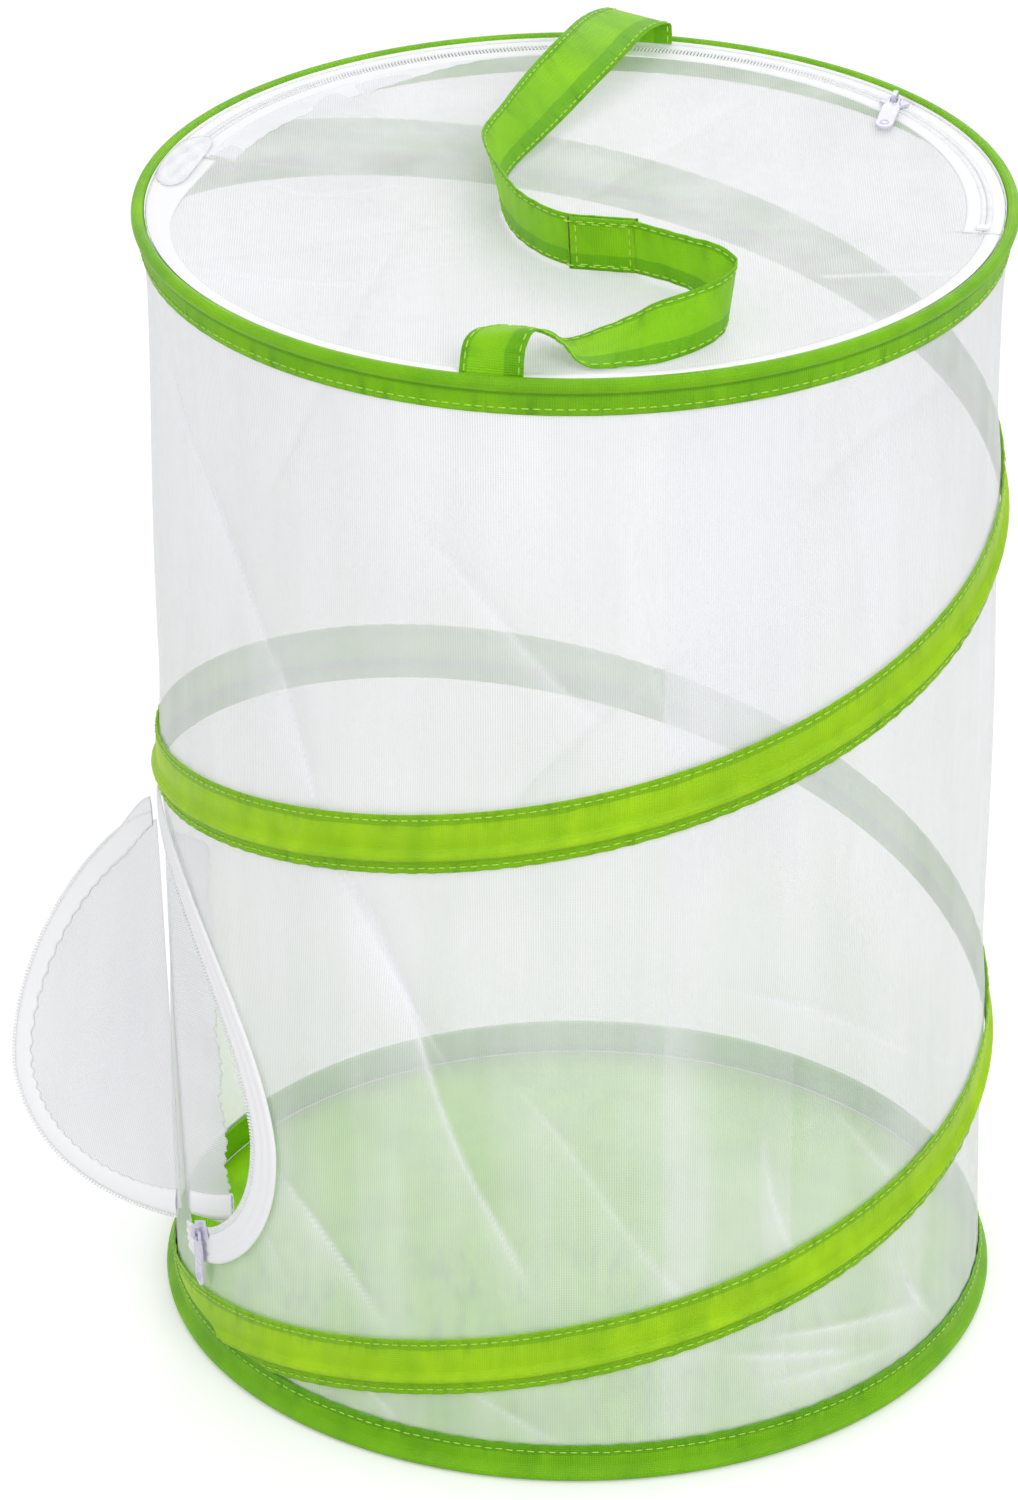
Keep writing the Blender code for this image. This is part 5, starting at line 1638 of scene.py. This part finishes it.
def lap_frame():
    """The lap's ends, its direction to the front, its rise and the normal of its front face."""
    first, second = np.array(LAP_FROM), np.array(LAP_TO)
    along = (second - first) / np.linalg.norm(second - first)
    lean = math.radians(LAP_LEAN)
    forward = np.array([along[1], -along[0], 0.0])
    rise = forward * math.sin(lean) + np.array([0.0, 0.0, math.cos(lean)])
    normal = forward * math.cos(lean) - np.array([0.0, 0.0, math.sin(lean)])
    return first, second, forward / math.cos(lean), rise, normal


def lap_stations(offset):
    """The lap's straight stretch, moved towards the front by an offset."""
    first, second, forward, rise, _ = lap_frame()
    along = (second - first) / np.linalg.norm(second - first)
    ends = [first - along * LAP_LEAD, first, second, second + along * LAP_LEAD]
    feet = [np.array([*end, STRAP_FLOOR]) + forward * offset for end in ends]
    return [(foot, foot + rise * STRAP_WIDTH) for foot in feet]


def strap_rows(stations, share):
    """Points of a strap half: one row for each share of its width."""
    left, right = (np.array(edge) for edge in zip(*stations))
    middles = smooth((left + right) / 2, 12)
    sides = unit(smooth(unit(right - left), 12))
    stands = np.abs(sides[:, 2]) * STRAP_WIDTH / 2
    middles[:, 2] += HEIGHT + np.maximum(0.0, STRAP_FLOOR + stands - middles[:, 2])
    faces = unit(np.cross(unit(np.gradient(middles, axis=0)), sides))
    points = middles[None] + sides[None] * (np.reshape(share, (-1, 1, 1)) - 0.5) * STRAP_WIDTH
    return points, faces, reach_along(middles)


def strap_half(name, node, stations):
    """One half of the strap on the body named as its node, with rippled edges and stitches along each."""
    share = np.linspace(0.0, 1.0, 15)
    points, faces, reach = strap_rows(stations, share)
    edge = np.exp(-np.minimum(share, 1.0 - share) * STRAP_WIDTH / 0.004)[:, None]
    calm = clamp(np.minimum(reach, reach[-1] - reach) / 0.04)
    wave = 0.0005 * (ripple(reach)[None, :] - 0.5) * edge * calm
    points = points + faces[None] * wave[..., None]
    cloth = (reach[None, :], (share * STRAP_WIDTH)[:, None])
    piece = surface(name, points, cloth, ribbon("strap_ribbon"))
    thicken(piece, STRAP_THICK)
    seat(piece, node, "green_ribbon", [node])
    for side, place in (("low", 1), ("high", 13)):
        for way, face in (("in", -1), ("out", 1)):
            path = points[place] + faces * face * STRAP_STITCH_LIFT
            run = stitches(f"{name}_{side}_stitches_{way}", path, faces * face)
            seat(run, node, "green_ribbon")


def lap_stitches():
    """The box of stitches that holds the lap's tape to the front half."""
    first, second, forward, rise, normal = lap_frame()
    up = np.tile(normal, (40, 1))

    def point(share, height):
        foot = np.array([*(first + (second - first) * share), HEIGHT + STRAP_FLOOR])
        return foot + forward * LAP_OFFSET + rise * height + normal * LAP_STITCH_LIFT

    left, right = 0.03, 0.97
    low, high = 0.003, STRAP_WIDTH - 0.003
    runs = {"left": (point(left, low), point(left, high)), "right": (point(right, low), point(right, high)),
            "top": (point(left, high), point(right, high)), "foot": (point(left, low), point(right, low))}
    for name, (start, end) in runs.items():
        path = start + (end - start) * np.linspace(0.0, 1.0, 40)[:, None]
        seat(stitches(f"lap_stitches_{name}", path, up), "front_strap", "green_ribbon")


def strap_pieces():
    """Both halves of the strap, the lap's stitches, and the CAD's hook and loop tapes in pile."""
    strap_half("rear_ribbon", "rear_strap", REAR_STRAP + lap_stations(0.0))
    strap_half("front_ribbon", "front_strap", lap_stations(LAP_OFFSET) + FRONT_STRAP)
    lap_stitches()
    for name in ("strap_loop_tape", "strap_hook_tape"):
        coat(frame["nodes"][name], hook_pile())


# Stage

def seen_rays(tree, least):
    """1 for rays that show things to the camera, also by reflection, or else the least value."""
    path = tree.nodes.new("ShaderNodeLightPath")
    value = None
    for ray in SEEN_RAYS:
        node = tree.nodes.new("ShaderNodeMath")
        node.operation = "MAXIMUM"
        tree.links.new(path.outputs[ray], node.inputs[0])
        if value is None:
            node.inputs[1].default_value = least
        else:
            tree.links.new(value, node.inputs[1])
        value = node.outputs[0]
    return value


def add_ground():
    """A white floor that keeps the cage's soft shadow, and further out is as white as the backdrop."""
    made = Recipe("studio_floor")
    seen = seen_rays(made.tree, 0.0)
    reach = made.add("ShaderNodeVectorMath", operation="LENGTH")
    made.link(made.place(), reach.inputs[0])
    far = made.times(made.spread(reach.outputs["Value"], *FLOOR_FADE), seen)
    glow = made.math("MULTIPLY_ADD", far, 1.0 - FLOOR_GLOW, made.times(seen, FLOOR_GLOW))
    made.put(base_color=made.mix(far, (FLOOR_GREY,) * 3, (0.0, 0.0, 0.0)), roughness=0.9,
             emission_color=(1.0, 1.0, 1.0), emission_strength=glow)
    mesh = bpy.data.meshes.new("ground")
    square = [(-1, -1), (1, -1), (1, 1), (-1, 1)]
    mesh.from_pydata([(x * FLOOR_SIZE, y * FLOOR_SIZE, FLOOR_LEVEL) for x, y in square], [], [(0, 1, 2, 3)])
    mesh.materials.append(made.material)
    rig.stage(link_new("ground", mesh))


def add_lights():
    """Broad soft light from the upper right, a weaker fill from the left, one behind, and an even sky."""
    for name, place, size, power in LAMPS:
        lamp = bpy.data.lights.new(name, "AREA")
        lamp.size = size
        lamp.energy = power
        holder = link_new(name, lamp)
        holder.location = place
        holder.rotation_euler = (Vector(LAMP_AIM) - Vector(place)).to_track_quat("-Z", "Y").to_euler()
    world = bpy.data.worlds.new("studio")
    world.use_nodes = True
    sky = world.node_tree.nodes["Background"]
    sky.inputs["Color"].default_value = (1.0, 1.0, 1.0, 1.0)
    world.node_tree.links.new(seen_rays(world.node_tree, SKY_LIGHT), sky.inputs["Strength"])
    bpy.context.scene.world = world
    bpy.context.scene.view_settings.view_transform = "Standard"


def add_camera():
    """The photograph's view: a long lens from the front, looking down."""
    pitch = math.radians(CAMERA_PITCH)
    roll = math.radians(CAMERA_ROLL)
    ahead = Vector((0.0, math.cos(pitch), -math.sin(pitch)))
    flat_right = Vector((1.0, 0.0, 0.0))
    flat_up = flat_right.cross(ahead)
    right = math.cos(roll) * flat_right + math.sin(roll) * flat_up
    up = -math.sin(roll) * flat_right + math.cos(roll) * flat_up
    lens = bpy.data.cameras.new("camera")
    lens.sensor_width = SENSOR_WIDTH
    lens.lens = SENSOR_WIDTH * FOCAL_PIXELS / PHOTO_PIXELS
    lens.clip_end = CLIP_END
    camera = link_new("camera", lens)
    turn = Matrix((right, up, -ahead)).transposed().to_4x4()
    turn.translation = Vector((CAMERA_AIM[0], 0.0, CAMERA_AIM[1])) - ahead * CAMERA_DISTANCE
    camera.matrix_world = turn
    bpy.context.scene.camera = camera


# Operators and panel

class MakePieces:
    """Runs the functions that make one group of pieces."""
    makers = ()

    def execute(self, context):
        for make in self.makers:
            make()
        return {"FINISHED"}


class HABITAT_OT_hoops(MakePieces, bpy.types.Operator):
    """Make the ribbon casings of both hoops and finish their wires"""
    bl_idname = "habitat.hoops"
    bl_label = "Hoops"
    makers = (hoop_pieces,)


class HABITAT_OT_spiral(MakePieces, bpy.types.Operator):
    """Make the spiral spring and its ribbon"""
    bl_idname = "habitat.spiral"
    bl_label = "Spiral"
    makers = (spiral_piece, spiral_wire_piece)


class HABITAT_OT_wall(MakePieces, bpy.types.Operator):
    """Make the net wall, its sewn overlap and the floor"""
    bl_idname = "habitat.wall"
    bl_label = "Wall and floor"
    makers = (wall_piece, wall_overlap_pieces, floor_piece)


class HABITAT_OT_lid(MakePieces, bpy.types.Operator):
    """Make the lid, its zip and slider"""
    bl_idname = "habitat.lid"
    bl_label = "Lid"
    makers = (lid_pieces, lid_slider_pieces)


class HABITAT_OT_door(MakePieces, bpy.types.Operator):
    """Make the doorway, the open flap and the door's slider"""
    bl_idname = "habitat.door"
    bl_label = "Door"
    makers = (doorway_pieces, flap_pieces, door_slider_pieces)


class HABITAT_OT_strap(MakePieces, bpy.types.Operator):
    """Make both halves of the carry strap and their lap"""
    bl_idname = "habitat.strap"
    bl_label = "Strap"
    makers = (strap_pieces,)


class HABITAT_OT_stage(MakePieces, bpy.types.Operator):
    """Make the floor, lights, world and camera"""
    bl_idname = "habitat.stage"
    bl_label = "Stage"
    makers = (add_ground, add_lights, add_camera)


class HABITAT_PT_panel(bpy.types.Panel):
    """Lists the habitat's groups of pieces and their settings"""
    bl_idname = "HABITAT_PT_panel"
    bl_label = "Butterfly habitat"
    bl_space_type = "VIEW_3D"
    bl_region_type = "UI"
    bl_category = "Habitat"

    def draw(self, context):
        for operator in OPERATORS:
            self.layout.operator(operator.bl_idname)
        for group in (context.scene.habitat_colours, context.scene.habitat_sizes):
            for name in group.__annotations__:
                self.layout.prop(group, name)


OPERATORS = (HABITAT_OT_hoops, HABITAT_OT_spiral, HABITAT_OT_wall, HABITAT_OT_lid, HABITAT_OT_door,
             HABITAT_OT_strap, HABITAT_OT_stage)
CLASSES = (HabitatColours, HabitatSizes, *OPERATORS, HABITAT_PT_panel)


def register():
    for one in CLASSES:
        bpy.utils.register_class(one)
    bpy.types.Scene.habitat_colours = bpy.props.PointerProperty(type=HabitatColours)
    bpy.types.Scene.habitat_sizes = bpy.props.PointerProperty(type=HabitatSizes)


def unregister():
    del bpy.types.Scene.habitat_sizes
    del bpy.types.Scene.habitat_colours
    for one in reversed(CLASSES):
        bpy.utils.unregister_class(one)


def main():
    register()
    bpy.ops.habitat.hoops()
    bpy.ops.habitat.spiral()
    bpy.ops.habitat.wall()
    bpy.ops.habitat.lid()
    bpy.ops.habitat.door()
    bpy.ops.habitat.strap()
    bpy.ops.habitat.stage()
    bpy.context.view_layer.update()
    low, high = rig.bounds()
    boxes = {"cad": [list(CAD_LOW), list(CAD_HIGH)], "visual": [list(low), list(high)]}
    with open("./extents.json", "w") as record:
        json.dump(boxes, record)


if __name__ == "__main__":
    main()
